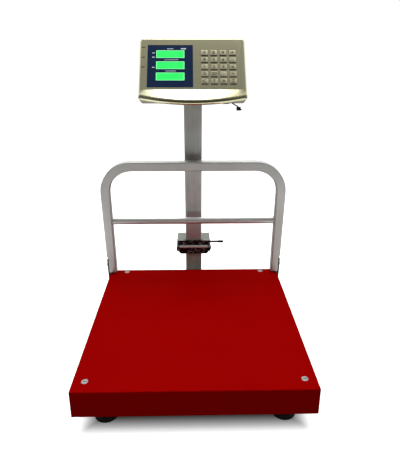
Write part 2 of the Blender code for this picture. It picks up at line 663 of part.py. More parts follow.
def make_hinge():
    """Two pressed flanges joined at the front by a pin in their knuckles."""
    front = COLUMN_Y - FLANGE_DEPTH / 2
    rear = COLUMN_Y + FLANGE_DEPTH / 2
    centre = (-CENTRE_KNUCKLE / 2, CENTRE_KNUCKLE / 2)
    sides = [(-SIDE_KNUCKLE_END, centre[0] - GAP), (centre[1] + GAP, SIDE_KNUCKLE_END)]
    pin_hole = HINGE_PIN + RUNNING
    whole = [((-UPPER_WIDTH, HINGE_Y, HINGE_Z), (UPPER_WIDTH, HINGE_Y, HINGE_Z))]
    relief = KNUCKLE + GAP

    half = LOWER_WIDTH / 2
    lower = pressing("hinge_lower_flange", (-half, half), (front, rear), [(0, 0)], LOWER_TOP, LOWER_LIP,
                     FLANGE_SHEET, "zinc_plate")
    trim_lip(lower, half, LOWER_TOP - LOWER_LIP, LOWER_CHAMFER)
    weld(lower, knuckles("side knuckles", sides, LOWER_TOP - 0.001, HINGE_Z + 0.001, "zinc_plate"))
    cut(lower, rods("centre knuckle room", relief,
                    [((centre[0] - GAP, HINGE_Y, HINGE_Z), (centre[1] + GAP, HINGE_Y, HINGE_Z))],
                    "zinc_plate", segments=20))
    cut(lower, rods("lower pin hole", pin_hole, whole, "zinc_plate", segments=20))
    slot = ((LATCH_X - LATCH_SHEET / 2 - 0.001, LATCH_Y - 0.011, LOWER_TOP - FLANGE_SHEET - 0.002),
            (LATCH_X + LATCH_SHEET / 2 + 0.001, LATCH_Y + 0.006, LOWER_TOP + 0.002))
    cut(lower, block("latch slot", slot[0], slot[1], "zinc_plate"))
    cut(lower, rods("latch pin hole", LATCH_PIN + RUNNING,
                    [((half - 0.01, LATCH_Y, LATCH_Z), (half + 0.01, LATCH_Y, LATCH_Z))], "zinc_plate",
                    segments=20))

    half = UPPER_WIDTH / 2
    upper = pressing("hinge_upper_flange", (-half, half), (front, rear), [(0, 0)], UPPER_TOP, UPPER_LIP,
                     FLANGE_SHEET, "zinc_plate")
    trim_lip(upper, half, UPPER_TOP - UPPER_LIP, UPPER_CHAMFER)
    weld(upper, knuckles("centre knuckle", [centre], HINGE_Z - 0.001, UPPER_TOP - UPPER_LIP + 0.001,
                         "zinc_plate"))
    catch_low = LATCH_Z + CATCH_LOW
    weld(upper, block("catch", (LATCH_X - 0.007, LATCH_Y + CATCH_FRONT, catch_low),
                      (half - FLANGE_SHEET + 0.001, rear - FLANGE_SHEET + 0.001, catch_low + CATCH_SHEET),
                      "zinc_plate"))
    cut(upper, rods("side knuckle room", relief,
                    [((low - GAP, HINGE_Y, HINGE_Z), (high + GAP, HINGE_Y, HINGE_Z)) for low, high in
                     ((sides[0][0], centre[0] - 2 * GAP), (centre[1] + 2 * GAP, sides[1][1]))], "zinc_plate",
                    segments=20))
    cut(upper, rods("upper pin hole", pin_hole, whole, "zinc_plate", segments=20))
    notch = ((half - FLANGE_SHEET - 0.001, LATCH_Y - ROD_SWING, UPPER_TOP - UPPER_LIP - 0.001),
             (half + 0.001, LATCH_Y + 0.0035, LATCH_Z + ROD_RISE + 0.0035))
    cut(upper, block("rod notch", notch[0], notch[1], "zinc_plate"))

    end = SIDE_KNUCKLE_END + 0.003
    profile = [(0, end), (HINGE_PIN - 0.0005, end), (HINGE_PIN, end - 0.0005), (HINGE_PIN, -end),
               (0, -end)]
    turned("hinge_pin", profile, "zinc_plate", segments=20, matrix=along_x(0, HINGE_Y, HINGE_Z))
    return upper


def make_latch():
    """Spring-loaded hook on a pin in the lower flange; its rod is the release handle."""
    half = LATCH_SHEET / 2
    tip = HOOK_TIP
    stem = LATCH_STEM
    eye = [(-math.sin(angle) * LATCH_EYE, -math.cos(angle) * LATCH_EYE)
           for angle in (math.pi / 2 * (2 * step / 8 - 1) for step in range(9))]
    eye = [(y, z) for y, z in reversed(eye)]
    outline = eye + [(stem, LATCH_EYE), (stem, HOOK_LOW), (tip, HOOK_LOW), (tip - 0.0004, HOOK_LOW + 0.002),
                     (stem - 0.002, HOOK_TOP), (-stem, HOOK_TOP), (-stem, LATCH_EYE)]
    outline = [(LATCH_Y + y, LATCH_Z + z) for y, z in outline]
    hook = extruded("latch_hook", outline, LATCH_X - half, LATCH_X + half, "zinc_plate")
    cut(hook, rods("hook pin hole", LATCH_PIN + RUNNING,
                   [((LATCH_X - 0.01, LATCH_Y, LATCH_Z), (LATCH_X + 0.01, LATCH_Y, LATCH_Z))], "zinc_plate",
                   segments=20))
    rod_z = LATCH_Z + ROD_RISE
    cut(hook, rods("hook rod hole", ROD_RADIUS + GAP / 2,
                   [((LATCH_X - 0.01, LATCH_Y, rod_z), (LATCH_X + 0.01, LATCH_Y, rod_z))], "zinc_plate",
                   segments=16))
    start = LATCH_X - half - 0.003
    length = ROD_END - start
    grip = length - ROD_GRIP
    profile = [(0, length), (ROD_TIP * 0.6, length), (ROD_TIP, length - 0.001), (ROD_TIP, grip),
               (ROD_RADIUS, grip - 0.001), (ROD_RADIUS, 0), (0, 0)]
    rod = turned("latch_rod", profile, "zinc_plate", segments=16, matrix=along_x(start, LATCH_Y, rod_z))

    inner = COLUMN_SIDE / 2 + GAP
    outer = LOWER_WIDTH / 2 + GAP
    pin = [(0, outer + 0.0025), (LATCH_PIN + 0.001, outer + 0.0025), (LATCH_PIN + 0.0015, outer + 0.002),
           (LATCH_PIN + 0.0015, outer), (LATCH_PIN, outer), (LATCH_PIN, inner), (0, inner)]
    turned("latch_pin", pin, "zinc_plate", segments=20, matrix=along_x(0, LATCH_Y, LATCH_Z))

    wire = bpy.data.curves.new("latch_spring", "CURVE")
    wire.dimensions = "3D"
    wire.bevel_depth = SPRING_WIRE
    wire.bevel_resolution = 1
    wire.use_fill_caps = True
    per_turn = 14
    count = SPRING_TURNS * per_turn + 1
    line = wire.splines.new("POLY")
    line.points.add(count - 1)
    for index in range(count):
        angle = 2 * math.pi * index / per_turn
        x = inner + 0.0006 + SPRING_PITCH * index / per_turn
        line.points[index].co = (x, LATCH_Y + SPRING_RADIUS * math.cos(angle),
                                 LATCH_Z + SPRING_RADIUS * math.sin(angle), 1)
    spring = bpy.data.objects.new("latch_spring", wire)
    wire.materials.append(MATERIALS["zinc_plate"])
    PARTS.objects.link(spring)
    hang_on("latch_axis", (LATCH_X, LATCH_Y, LATCH_Z), (hook, rod))


def indicator_matrix():
    return Matrix.Translation(FACE_FOOT) @ Matrix.Rotation(FACE_ANGLE, 4, "X")


def in_case(y, z):
    """World Y and Z of a point given up the face and out of the face."""
    spot = indicator_matrix() @ Vector((0, y, z))
    return spot.y, spot.z


def make_case():
    """Folded stainless case: slanted face, bowed chin, open at the back."""
    bm = bmesh.new()
    half = CASE_WIDTH / 2
    sections = 12
    rings = []
    for index in range(sections + 1):
        x = -half + CASE_WIDTH * index / sections
        bow = 1 - (x / half) ** 2
        chin = [tuple(side + (centre - side) * bow for side, centre in zip(low, high))
                for low, high in zip(CHIN_SIDE, CHIN_CENTRE)]
        profile = [(CASE_HEIGHT, -CASE_DEPTH), (CASE_HEIGHT, 0), (0, 0), chin[0], chin[1], (0, -CASE_DEPTH)]
        rings.append([bm.verts.new((x, y, z)) for y, z in profile])
    for near, far in zip(rings, rings[1:]):
        for index in range(len(near) - 1):
            bm.faces.new((near[index], near[index + 1], far[index + 1], far[index]))
    bm.faces.new(rings[0])
    bm.faces.new(rings[-1])
    bmesh.ops.recalc_face_normals(bm, faces=bm.faces)
    face = max(bm.faces, key=lambda item: item.calc_center_median().z if abs(item.normal.z) > 0.95 else -1)
    if face.normal.z < 0:
        bmesh.ops.reverse_faces(bm, faces=bm.faces)
    corners = [edge for edge in bm.edges
               if all(abs(vert.co.x) > half - GAP and vert.co.y > CASE_HEIGHT - GAP for vert in edge.verts)]
    bmesh.ops.bevel(bm, geom=corners, offset=CASE_CORNER, segments=4, affect="EDGES", profile=0.5)
    case = add_part("indicator_case", bm, "brushed_stainless", indicator_matrix())
    bevel(case, CASE_EDGE, 3)
    shell(case, CASE_SHEET)
    reach = 0.012
    cut(case, block("panel opening", (PANEL_X[0], PANEL_Y[0], -reach), (PANEL_X[1], PANEL_Y[1], reach),
                    "blue_panel", indicator_matrix()))
    holes = []
    for x, y in key_spots():
        holes.append(((x - KEY_SIZE[0] / 2, y - KEY_SIZE[1] / 2, -reach),
                      (x + KEY_SIZE[0] / 2, y + KEY_SIZE[1] / 2, reach)))
    cut(case, add_part("key openings", block_mesh(holes), "blue_panel", indicator_matrix()))
    slots = []
    for y in SLOT_ROWS:
        slots.append(((-half + CASE_EDGE, y - SLOT_SIZE[1] / 2, -CASE_EDGE),
                      (-half + CASE_EDGE + SLOT_SIZE[0], y + SLOT_SIZE[1] / 2, CASE_EDGE)))
    cut(case, add_part("edge slots", block_mesh(slots), "brushed_stainless", indicator_matrix()))
    return case


def key_spots():
    return [(KEY_FIRST[0] + KEY_PITCH[0] * column, KEY_FIRST[1] + KEY_PITCH[1] * row)
            for row in reversed(range(KEY_ROWS)) for column in range(KEY_COLUMNS)]


def make_keys():
    """Stepped caps: each stands through its opening and is kept in by a flange under the face."""
    names = ["key_row%d_col%d" % (row + 1, column + 1)
             for row in range(KEY_ROWS) for column in range(KEY_COLUMNS)]
    shoulder = -CASE_SHEET - GAP
    for name, (x, y) in zip(names, key_spots()):
        bm = bmesh.new()
        wide = (KEY_SIZE[0] / 2 + 0.001, KEY_SIZE[1] / 2 + 0.001)
        stem = (KEY_SIZE[0] / 2 - GAP, KEY_SIZE[1] / 2 - GAP)
        crown = (stem[0] - 0.0008, stem[1] - 0.0008)
        levels = [(wide, shoulder - KEY_FLANGE), (wide, shoulder), (stem, shoulder),
                  (stem, KEY_RISE - 0.0006), (crown, KEY_RISE)]
        loops = []
        for (across, along), height in levels:
            loops.append([bm.verts.new((sx * across, sy * along, height))
                          for sx, sy in ((-1, -1), (1, -1), (1, 1), (-1, 1))])
        for lower, upper in zip(loops, loops[1:]):
            for index in range(4):
                after = (index + 1) % 4
                bm.faces.new((lower[index], lower[after], upper[after], upper[index]))
        bm.faces.new(loops[0])
        bm.faces.new(loops[-1])
        bmesh.ops.recalc_face_normals(bm, faces=bm.faces)
        add_part(name, bm, "key_silver", indicator_matrix() @ Matrix.Translation((x, y, 0)))


def make_display():
    """Blue front panel with three windows, and the display module behind it."""
    matrix = indicator_matrix()
    panel = block("display_panel", (PANEL_X[0] + GAP, PANEL_Y[0] + GAP, 0.0002 - PANEL_SHEET),
                  (PANEL_X[1] - GAP, PANEL_Y[1] - GAP, 0.0002), "blue_panel", matrix)
    windows = [((WINDOW_X[0], row - WINDOW_HEIGHT / 2, -0.01), (WINDOW_X[1], row + WINDOW_HEIGHT / 2, 0.01))
               for row in WINDOW_ROWS]
    cut(panel, add_part("window openings", block_mesh(windows), "blue_panel", matrix))
    back = 0.0002 - PANEL_SHEET - GAP
    module = block("display_module", (PANEL_X[0] + 0.003, PANEL_Y[0] + 0.003, back - 0.0024),
                   (PANEL_X[1] - 0.003, PANEL_Y[1] - 0.003, back), "green_lcd", matrix)
    screens = [((low[0] + GAP, low[1] + GAP, back - 0.001), (high[0] - GAP, high[1] - GAP, -0.0004))
               for low, high in windows]
    weld(module, add_part("screens", block_mesh(screens), "green_lcd", matrix))
    board_top = min(back - 0.0024, -CASE_SHEET - GAP - KEY_FLANGE - KEY_TRAVEL) - GAP
    board = block("main_board", (PANEL_X[0], BOARD_Y[0], board_top - BOARD_SHEET),
                  (BOARD_RIGHT, BOARD_Y[1], board_top), "circuit_board", matrix)
    return [panel, module, board]


def make_back():
    """Back cover with its tilt lug, the battery on it and the rocker switch in it."""
    matrix = indicator_matrix()
    half = CASE_WIDTH / 2 - CASE_SHEET - GAP
    low = CASE_SHEET + 0.001
    outer = -CASE_DEPTH
    inner = outer + COVER_SHEET
    cover = block("back_cover", (-half, low, outer), (half, CASE_HEIGHT - CASE_SHEET - GAP, inner),
                  "brushed_stainless", matrix)
    sheet = cover.data
    bm = bmesh.new()
    bm.from_mesh(sheet)
    upright = [edge for edge in bm.edges if abs((edge.verts[0].co - edge.verts[1].co).z) > COVER_SHEET / 2]
    upper = [edge for edge in upright if edge.verts[0].co.y > CASE_HEIGHT / 2]
    lower = [edge for edge in upright if edge not in upper]
    for edges, corner in ((lower, CASE_EDGE), (upper, CASE_CORNER - CASE_SHEET)):
        bmesh.ops.bevel(bm, geom=edges, offset=corner, segments=4, affect="EDGES", profile=0.5)
    bm.to_mesh(sheet)
    bm.free()
    axis_z = outer - TILT_DROP
    lug = [(TILT_Y + TILT_EYE, inner - 0.0005), (TILT_Y - TILT_EYE, inner - 0.0005)]
    for step in range(9):
        angle = math.pi * step / 8
        lug.append((TILT_Y - TILT_EYE * math.cos(angle), axis_z - TILT_EYE * math.sin(angle)))
    weld(cover, extruded("tilt lug", lug, -LUG_WIDTH / 2, LUG_WIDTH / 2, "brushed_stainless", matrix=matrix))
    cut(cover, rods("lug hole", BOLT_RADIUS + RUNNING, [((-0.03, TILT_Y, axis_z), (0.03, TILT_Y, axis_z))],
                    "brushed_stainless", matrix=matrix))
    x, y = SWITCH_AT
    room = (SWITCH[0] / 2 + GAP, SWITCH[1] / 2 + 2 * GAP)
    cut(cover, block("switch opening", (x - room[0], y - room[1], outer - 0.01),
                     (x + room[0], y + room[1], inner + 0.01), "black_plastic", matrix))

    battery_low = inner + GAP
    across, up = BATTERY_AT
    battery = block("battery", (across, up, battery_low),
                    (across + BATTERY[0], up + BATTERY[1], battery_low + BATTERY[2]), "black_plastic", matrix)
    bevel(battery, 0.002, 2)

    half_y = SWITCH[1] / 2
    rocker = [(-half_y, 0.003), (-half_y, -0.0022), (0, -0.0006), (half_y, -0.0022), (half_y, 0.003)]
    centre = (outer + inner) / 2
    lean = matrix @ Matrix.Translation((x, y, centre)) @ Matrix.Rotation(SWITCH_LEAN, 4, "X")
    switch = extruded("power_rocker", rocker, -SWITCH[0] / 2, SWITCH[0] / 2, "black_plastic", matrix=lean)
    return [cover, battery], switch, (x, y, centre)


def chin_point(x, share):
    """Local Y and Z on the case's underside at X, share of the way from the chin to the back."""
    half = CASE_WIDTH / 2
    bow = 1 - (x / half) ** 2
    y, z = (side + (centre - side) * bow for side, centre in zip(CHIN_SIDE[1], CHIN_CENTRE[1]))
    return y * (1 - share), z + (-CASE_DEPTH - z) * share


def make_socket(case):
    """Charging socket in the case's underside and its rubber dust plug, hanging by its strap."""
    matrix = indicator_matrix()
    share = 0.45
    step = 0.008
    y, z = chin_point(SOCKET_X, share)
    slope = Vector((0, *chin_point(SOCKET_X, 1))) - Vector((0, *chin_point(SOCKET_X, 0)))
    across = (Vector((SOCKET_X + step, *chin_point(SOCKET_X + step, share)))
              - Vector((SOCKET_X - step, *chin_point(SOCKET_X - step, share))))
    outward = across.cross(slope).normalized()
    if outward.y > 0:
        outward.negate()
    turn = outward.to_track_quat("Z", "X").to_matrix().to_4x4()
    spot = matrix @ Matrix.Translation((SOCKET_X, y, z)) @ turn
    hole = rods("socket hole", SOCKET_RADIUS + 2 * GAP, [((0, 0, -0.006), (0, 0, 0.006))], "black_plastic",
                segments=20, matrix=spot)
    cut(case, hole)
    lip = SOCKET_RADIUS + 0.002
    seat = 2 * GAP
    profile = [(SOCKET_RADIUS - 0.0015, 0.0015), (lip, 0.0015), (lip, seat), (SOCKET_RADIUS, seat),
               (SOCKET_RADIUS, -0.010), (0, -0.010), (0, -0.008), (SOCKET_RADIUS - 0.0015, -0.008)]
    socket = turned("charging_socket", profile, "black_plastic", segments=20, closed=True, matrix=spot)
    return socket


def make_plug():
    """Rubber dust plug on its strap; the strap's end sits under the case beside the socket."""
    matrix = indicator_matrix()
    wire = bpy.data.curves.new("socket_plug", "CURVE")
    wire.dimensions = "3D"
    wire.bevel_depth = 0.0012
    wire.bevel_resolution = 2
    wire.use_fill_caps = True
    start = matrix @ Vector((SOCKET_X + 0.011, *chin_point(SOCKET_X + 0.011, 0.25)))
    start.z -= 0.0011
    steps = ((0.0, 0.0, 0.0), (0.004, -0.002, -0.0022), (0.009, -0.004, -0.0048), (0.014, -0.006, -0.0086),
             (0.018, -0.007, -0.012))
    line = wire.splines.new("POLY")
    line.points.add(len(steps) - 1)
    for point, step in zip(line.points, steps):
        point.co = (*(start + Vector(step)), 1)
    strap = bpy.data.objects.new("strap curve", wire)
    bpy.context.scene.collection.objects.link(strap)
    graph = bpy.context.evaluated_depsgraph_get()
    mesh = bpy.data.meshes.new_from_object(strap.evaluated_get(graph))
    bpy.data.objects.remove(strap, do_unlink=True)
    bm = bmesh.new()
    bm.from_mesh(mesh)
    bmesh.ops.remove_doubles(bm, verts=bm.verts, dist=0.000001)
    bmesh.ops.recalc_face_normals(bm, faces=bm.faces)
    plug = add_part("socket_plug", bm, "rubber")
    middle = start + Vector(steps[3]) - Vector((0.002, 0, 0.001))
    weld(plug, rods("plug body", 0.0035, [(middle - Vector((0.004, 0, 0)), middle + Vector((0.004, 0, 0)))],
                    "rubber", segments=16))
    return plug


def make_tilt_mount():
    """Cap with two ears on the column, and the clamp bolt the indicator tilts on."""
    axis_y, axis_z = in_case(TILT_Y, -CASE_DEPTH - TILT_DROP)
    low = COLUMN_TOP + GAP
    half = COLUMN_SIDE / 2
    ear = LUG_WIDTH / 2 + GAP
    bracket = block("tilt_bracket", (-half, COLUMN_Y - half, low), (half, COLUMN_Y + half, low + EAR_SHEET),
                    "grey_enamel")
    outline = [(COLUMN_Y - half, low + EAR_SHEET - 0.0005), (COLUMN_Y + half, low + EAR_SHEET - 0.0005)]
    for step in range(9):
        angle = math.pi * step / 8
        outline.append((axis_y + TILT_EYE * math.cos(angle), axis_z + TILT_EYE * math.sin(angle)))
    for side, word in ((-1, "left"), (1, "right")):
        edges = sorted((side * ear, side * (ear + EAR_SHEET)))
        weld(bracket, extruded("ear " + word, outline, edges[0], edges[1], "grey_enamel"))
    cut(bracket, rods("ear holes", BOLT_RADIUS + RUNNING,
                      [((-0.03, axis_y, axis_z), (0.03, axis_y, axis_z))], "grey_enamel"))
    cut(bracket, rods("cable hole", 0.006, [((0, COLUMN_Y, low - 0.01), (0, COLUMN_Y, low + 0.01))],
                      "grey_enamel", segments=16))
    outside = ear + EAR_SHEET + GAP
    profile = [(0, outside + KNOB_LENGTH), (KNOB_RADIUS - 0.002, outside + KNOB_LENGTH),
               (KNOB_RADIUS, outside + KNOB_LENGTH - 0.002), (KNOB_RADIUS, outside + 0.003),
               (BOLT_HEAD, outside), (BOLT_RADIUS, outside), (BOLT_RADIUS, -outside),
               (BOLT_HEAD, -outside), (BOLT_HEAD, -outside - 0.004), (0, -outside - 0.004)]
    bolt = turned("tilt_bolt", profile, "black_plastic", segments=24, matrix=along_x(0, axis_y, axis_z))
    return bracket, bolt, (0, axis_y, axis_z)


def build():
    make_base_frame()
    make_feet()
    make_load_cell()
    make_deck()
    make_guard_rail()
    make_column_mount()
    upper = make_hinge()
    make_latch()
    column = square_post("column_tube", UPPER_TOP + GAP, COLUMN_TOP, "grey_enamel")
    bracket, bolt, tilt_axis = make_tilt_mount()
    case = make_case()
    make_keys()
    inside = make_display()
    backs, switch, switch_axis = make_back()
    socket = make_socket(case)
    plug = make_plug()
    hang_on("column_axis", (0, HINGE_Y, HINGE_Z), (upper, column, bracket, bolt))
    hang_on("tilt_axis", tilt_axis, (case, socket, plug, *inside, *backs))
    spot = indicator_matrix() @ Vector(switch_axis)
    hang_on("rocker_axis", spot, (switch,))


clear_scene()
PARTS = make_collection("folding_platform_scale")
TOOLS = make_collection("cutters")
TOOLS.hide_render = True
MATERIALS = {name: make_material(name, *values) for name, values in FINISHES.items()}
build()
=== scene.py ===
"""Folding platform scale in a plain studio: finishes, small detail and light over the CAD frame."""
import math

import bmesh
import bpy
from mathutils import Matrix, Vector


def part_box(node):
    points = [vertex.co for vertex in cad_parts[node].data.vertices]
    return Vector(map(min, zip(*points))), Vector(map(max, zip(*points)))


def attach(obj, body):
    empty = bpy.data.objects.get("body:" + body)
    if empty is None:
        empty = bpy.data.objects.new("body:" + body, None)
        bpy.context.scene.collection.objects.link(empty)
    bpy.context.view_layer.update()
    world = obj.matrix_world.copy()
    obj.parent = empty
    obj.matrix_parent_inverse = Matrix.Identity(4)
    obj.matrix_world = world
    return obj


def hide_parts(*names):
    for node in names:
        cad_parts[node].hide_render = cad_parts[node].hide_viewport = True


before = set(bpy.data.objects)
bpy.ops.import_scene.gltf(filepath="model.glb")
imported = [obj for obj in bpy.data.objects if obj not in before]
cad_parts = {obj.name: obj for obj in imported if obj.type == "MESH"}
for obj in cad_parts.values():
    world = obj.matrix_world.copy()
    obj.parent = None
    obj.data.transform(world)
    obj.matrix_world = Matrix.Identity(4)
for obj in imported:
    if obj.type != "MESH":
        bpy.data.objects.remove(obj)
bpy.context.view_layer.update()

MM = 0.001
IMAGE = (400, 458)
SENSOR = 36.0

# The camera as it was fitted to the pan's corners: focal length and principal point in pixels
FOCAL = 418.6
PRINCIPAL_Y = 240.3
YAW = math.radians(1.15)
PITCH = math.radians(24.67)
ROLL = math.radians(0.06)

# A Mix node's colour sockets, and its colour result
MIX_A = 6
MIX_B = 7
MIX_COLOUR = 2

# The pan's top face; its skirt leans out by the flare
PAN_LOW, PAN_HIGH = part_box("pan")
PAN_FLARE = 1.5 * MM
PAN_FRONT = PAN_LOW.y + PAN_FLARE
PAN_REAR = PAN_HIGH.y - PAN_FLARE
PAN_TOP = PAN_HIGH.z

# Where the photograph was taken from
CAMERA_SPOT = Vector((-3.1 * MM, PAN_FRONT - 500.7 * MM, PAN_TOP + 491.4 * MM))

# The slanted face of the indicator, in its own frame: X across, Y up the face, Z out of the face
FACE_ANGLE = math.radians(48.7)
FACE_FOOT = Vector((0, PAN_REAR - 39 * MM, PAN_TOP + 418 * MM))
FACE = Matrix.Translation(FACE_FOOT) @ Matrix.Rotation(FACE_ANGLE, 4, "X")
FACE_WIDTH = 212 * MM
FACE_HEIGHT = 122.8 * MM
CASE_DEPTH = 45 * MM

# The keys as the CAD sets them out: figures in rows from the top, KEY_FIRST at the lower left
KEY_LEGENDS = (("7", "8", "9", "+"), ("4", "5", "6", "-"), ("1", "2", "3", "x"), ("0", "00", ".", "="),
               ("C", "T", "A", "Z"))
KEY_FIRST = (0.1123 * FACE_WIDTH, 0.1466 * FACE_HEIGHT)
KEY_PITCH = (0.0877 * FACE_WIDTH, 0.1360 * FACE_HEIGHT)
KEY_RISE = 2.2 * MM

# The three windows: left and right edge, middle of each row, height
WINDOW_X = (-0.3410 * FACE_WIDTH, -0.0769 * FACE_WIDTH)
WINDOW_ROWS = (0.2468 * FACE_HEIGHT, 0.4609 * FACE_HEIGHT, 0.6759 * FACE_HEIGHT)
WINDOW_HEIGHT = 0.1507 * FACE_HEIGHT

# The three slots at the left edge of the face, as shares of its height
SLOT_ROWS = (0.426, 0.615, 0.811)

# Places of the four feet and the four pan screws
CORNERS = ("front_left", "front_right", "rear_left", "rear_right")

# Segments of a softened edge
EDGE_STEPS = 2


def ink(code):
    """An sRGB hex colour as linear RGBA."""
    values = []
    for start in (1, 3, 5):
        part = int(code[start:start + 2], 16) / 255
        values.append(part / 12.92 if part <= 0.04045 else ((part + 0.055) / 1.055) ** 2.4)
    return (*values, 1.0)


def add_node(tree, kind, inputs=None, **settings):
    """Add a node; settings are its properties, inputs are constants or the sockets that feed it."""
    node = tree.nodes.new(kind)
    for key, value in settings.items():
        setattr(node, key, value)
    for key, value in (inputs or {}).items():
        socket = node.inputs[key]
        if isinstance(value, bpy.types.NodeSocket):
            tree.links.new(value, socket)
        else:
            socket.default_value = value
    return node


def start_finish(name):
    """An empty node material: its tree and Object coordinates."""
    material = bpy.data.materials.new(name)
    material.use_nodes = True
    tree = material.node_tree
    tree.nodes.clear()
    return material, tree, add_node(tree, "ShaderNodeTexCoord").outputs["Object"]


def mottled(name, light, dark, grain, gloss, relief=0.0, stretch=(1, 1, 1), cloud=25.0,
            span=(0.7, 1.3), **constants):
    """A finish with one fine grain over slow clouds.

    grain is the grain's size and cloud the clouds' size, in millimetres; gloss is the roughness from
    shiny to dull; relief is the grain's height in millimetres; stretch makes the grain run one way;
    span is the part of the noise that turns light to dark; constants are other values of the shader.
    """
    material, tree, place = start_finish(name)
    laid = add_node(tree, "ShaderNodeMapping", {"Vector": place, "Scale": stretch})
    fine = add_node(tree, "ShaderNodeTexNoise",
                    {"Vector": laid.outputs[0], "Scale": 1 / (grain * MM), "Detail": 2.0,
                     "Roughness": 0.55})
    slow = add_node(tree, "ShaderNodeTexNoise",
                    {"Vector": place, "Scale": 1 / (cloud * MM), "Detail": 3.0})
    tone = add_node(tree, "ShaderNodeMath", {0: fine.outputs[0], 1: slow.outputs[0]}, operation="ADD")
    ends = {"Value": tone.outputs[0], "From Min": span[0], "From Max": span[1]}
    shade = add_node(tree, "ShaderNodeMapRange", ends)
    colour = add_node(tree, "ShaderNodeMix", {0: shade.outputs[0], MIX_A: ink(light), MIX_B: ink(dark)},
                      data_type="RGBA")
    rough = add_node(tree, "ShaderNodeMapRange", {**ends, "To Min": gloss[0], "To Max": gloss[1]})
    shader = add_node(tree, "ShaderNodeBsdfPrincipled",
                      {"Base Color": colour.outputs[MIX_COLOUR], "Roughness": rough.outputs[0],
                       **constants})
    if relief:
        lift = add_node(tree, "ShaderNodeBump", {"Height": fine.outputs[0], "Distance": relief * MM})
        tree.links.new(lift.outputs[0], shader.inputs["Normal"])
    add_node(tree, "ShaderNodeOutputMaterial", {"Surface": shader.outputs[0]})
    return material, tree, shader, colour.outputs[MIX_COLOUR]


def red_baking_enamel():
    """Baked enamel on folded sheet: deep even red, orange peel in 3 mm waves, hardly any reflection."""
    return mottled("red_baking_enamel", "#A80200", "#A30100", 3.0, (0.5, 0.58), relief=0.03,
                   cloud=110, **{"Specular IOR Level": 0.004})[0]


def silver_flake_paint(name, light, dark, gloss):
    """Aluminium-flake paint on drawn steel tube: soft metallic sheen; flakes drawn 0.4 mm to show."""
    return mottled(name, light, dark, 0.4, gloss, relief=0.008, cloud=60, Metallic=0.55)[0]


def drawn_column_paint():
    """The same flake paint over the die lines of a drawn square tube: streaks along it, 1.6 mm apart."""
    return mottled("drawn_column_paint", "#C3C4C0", "#A7A8A4", 1.6, (0.36, 0.46), relief=0.006,
                   stretch=(1, 1, 0.02), cloud=45, Metallic=0.5)[0]


def counter_tinted_stub():
    """Hot-dip galvanised post under the hinge: dull grey with faint streaks down it, its green tint
    painted in to cancel the pan's red reflection.
    """
    return mottled("counter_tinted_stub", "#B6C1B4", "#98A49A", 1.8, (0.5, 0.6), relief=0.006,
                   stretch=(1, 1, 0.03), cloud=20)[0]


def plated_screw():
    """Nickel-plated screw heads: neutral grey, a little worn by boots and boxes."""
    return mottled("plated_screw", "#8E8C8A", "#676566", 1.2, (0.3, 0.42), relief=0.008, cloud=5,
                   Metallic=1.0)[0]


def brushed_stainless():
    """Brushed stainless sheet, its warm tint painted in for warm light on it: grain across the case,
    drawn 0.6 mm apart to show.
    """
    return mottled("brushed_stainless", "#C9C6A6", "#BAB693", 0.6, (0.20, 0.26), relief=0.002,
                   stretch=(0.02, 1, 0.05), cloud=70, Metallic=1.0)[0]


def zinc_plate():
    """Bright zinc plating on pressed steel: cool grey, clouded by handling."""
    return mottled("zinc_plate", "#B4B6B4", "#83858A", 1.2, (0.24, 0.42), relief=0.012, cloud=7,
                   Metallic=1.0)[0]


def flange_plate():
    """Dulled plating on top of the hinge flanges: mid grey with a faint green, scuffed."""
    return mottled("dulled_zinc_plate", "#747970", "#4F524B", 1.6, (0.28, 0.45), relief=0.02, cloud=6,
                   Metallic=1.0)[0]


def painted_glint_lip():
    """Near-black on the flanges' upright lips, painted shade in place of their dark reflection, with
    small bright spots that are painted glints.
    """
    return mottled("painted_glint_lip", "#070807", "#8A948B", 4.0, (0.4, 0.3), relief=0.02, cloud=5,
                   stretch=(0.6, 1, 1), span=(1.06, 1.18), **{"Specular IOR Level": 0.2})[0]


def painted_highlight_zinc():
    """Pale zinc as a painted highlight along the flanges' edges and on the hinge's knuckles."""
    return mottled("painted_highlight_zinc", "#F0F1EC", "#D2D3CD", 1.2, (0.25, 0.38), relief=0.006, cloud=5,
                   Metallic=0.3)[0]


def black_chassis_paint():
    """Satin black chassis paint on pressed steel: slightly uneven, dusty in patches."""
    return mottled("black_chassis_paint", "#1D1D1F", "#2B2B2C", 1.4, (0.42, 0.6), relief=0.02)[0]


def bracket_paint():
    """Grey primer-like paint of the side straps, rubbed brighter in patches."""
    return mottled("bracket_paint", "#6B6668", "#4C484A", 1.6, (0.35, 0.5), relief=0.02, Metallic=0.5)[0]


def blackened_steel():
    """Oil-blackened steel of the latch handle: near black with a soft shine."""
    return mottled("blackened_steel", "#1A1A19", "#30302E", 1.2, (0.3, 0.42), relief=0.01,
                   Metallic=0.9)[0]


def moulded_rubber():
    """Moulded black rubber: matt, finely grained, a little chalky."""
    return mottled("moulded_rubber", "#0A0908", "#141312", 0.9, (0.62, 0.82), relief=0.04,
                   **{"Specular IOR Level": 0.15})[0]


def milled_aluminium():
    """Milled aluminium of the load cell: fine streaks from front to rear, drawn 1 mm apart."""
    return mottled("milled_aluminium", "#C9CACB", "#B2B3B5", 1.0, (0.28, 0.4), relief=0.01,
                   stretch=(1, 0.04, 1), Metallic=1.0)[0]


def printed_blue_overlay():
    """Screen-printed polyester overlay: deep navy, faintly textured, half gloss."""
    return mottled("printed_blue_overlay", "#142747", "#1A2D50", 0.7, (0.34, 0.42), relief=0.01,
                   cloud=40, **{"Specular IOR Level": 0.03})[0]


def lit_green_window(name, light, dark, glow):
    """Backlit liquid-crystal glass: even green, faintly mottled, with its own light."""
    material, tree, shader, colour = mottled(name, light, dark, 1.1, (0.3, 0.36), cloud=30,
                                             **{"Emission Strength": glow, "Specular IOR Level": 0.03})
    tree.links.new(colour, shader.inputs["Emission Color"])
    return material


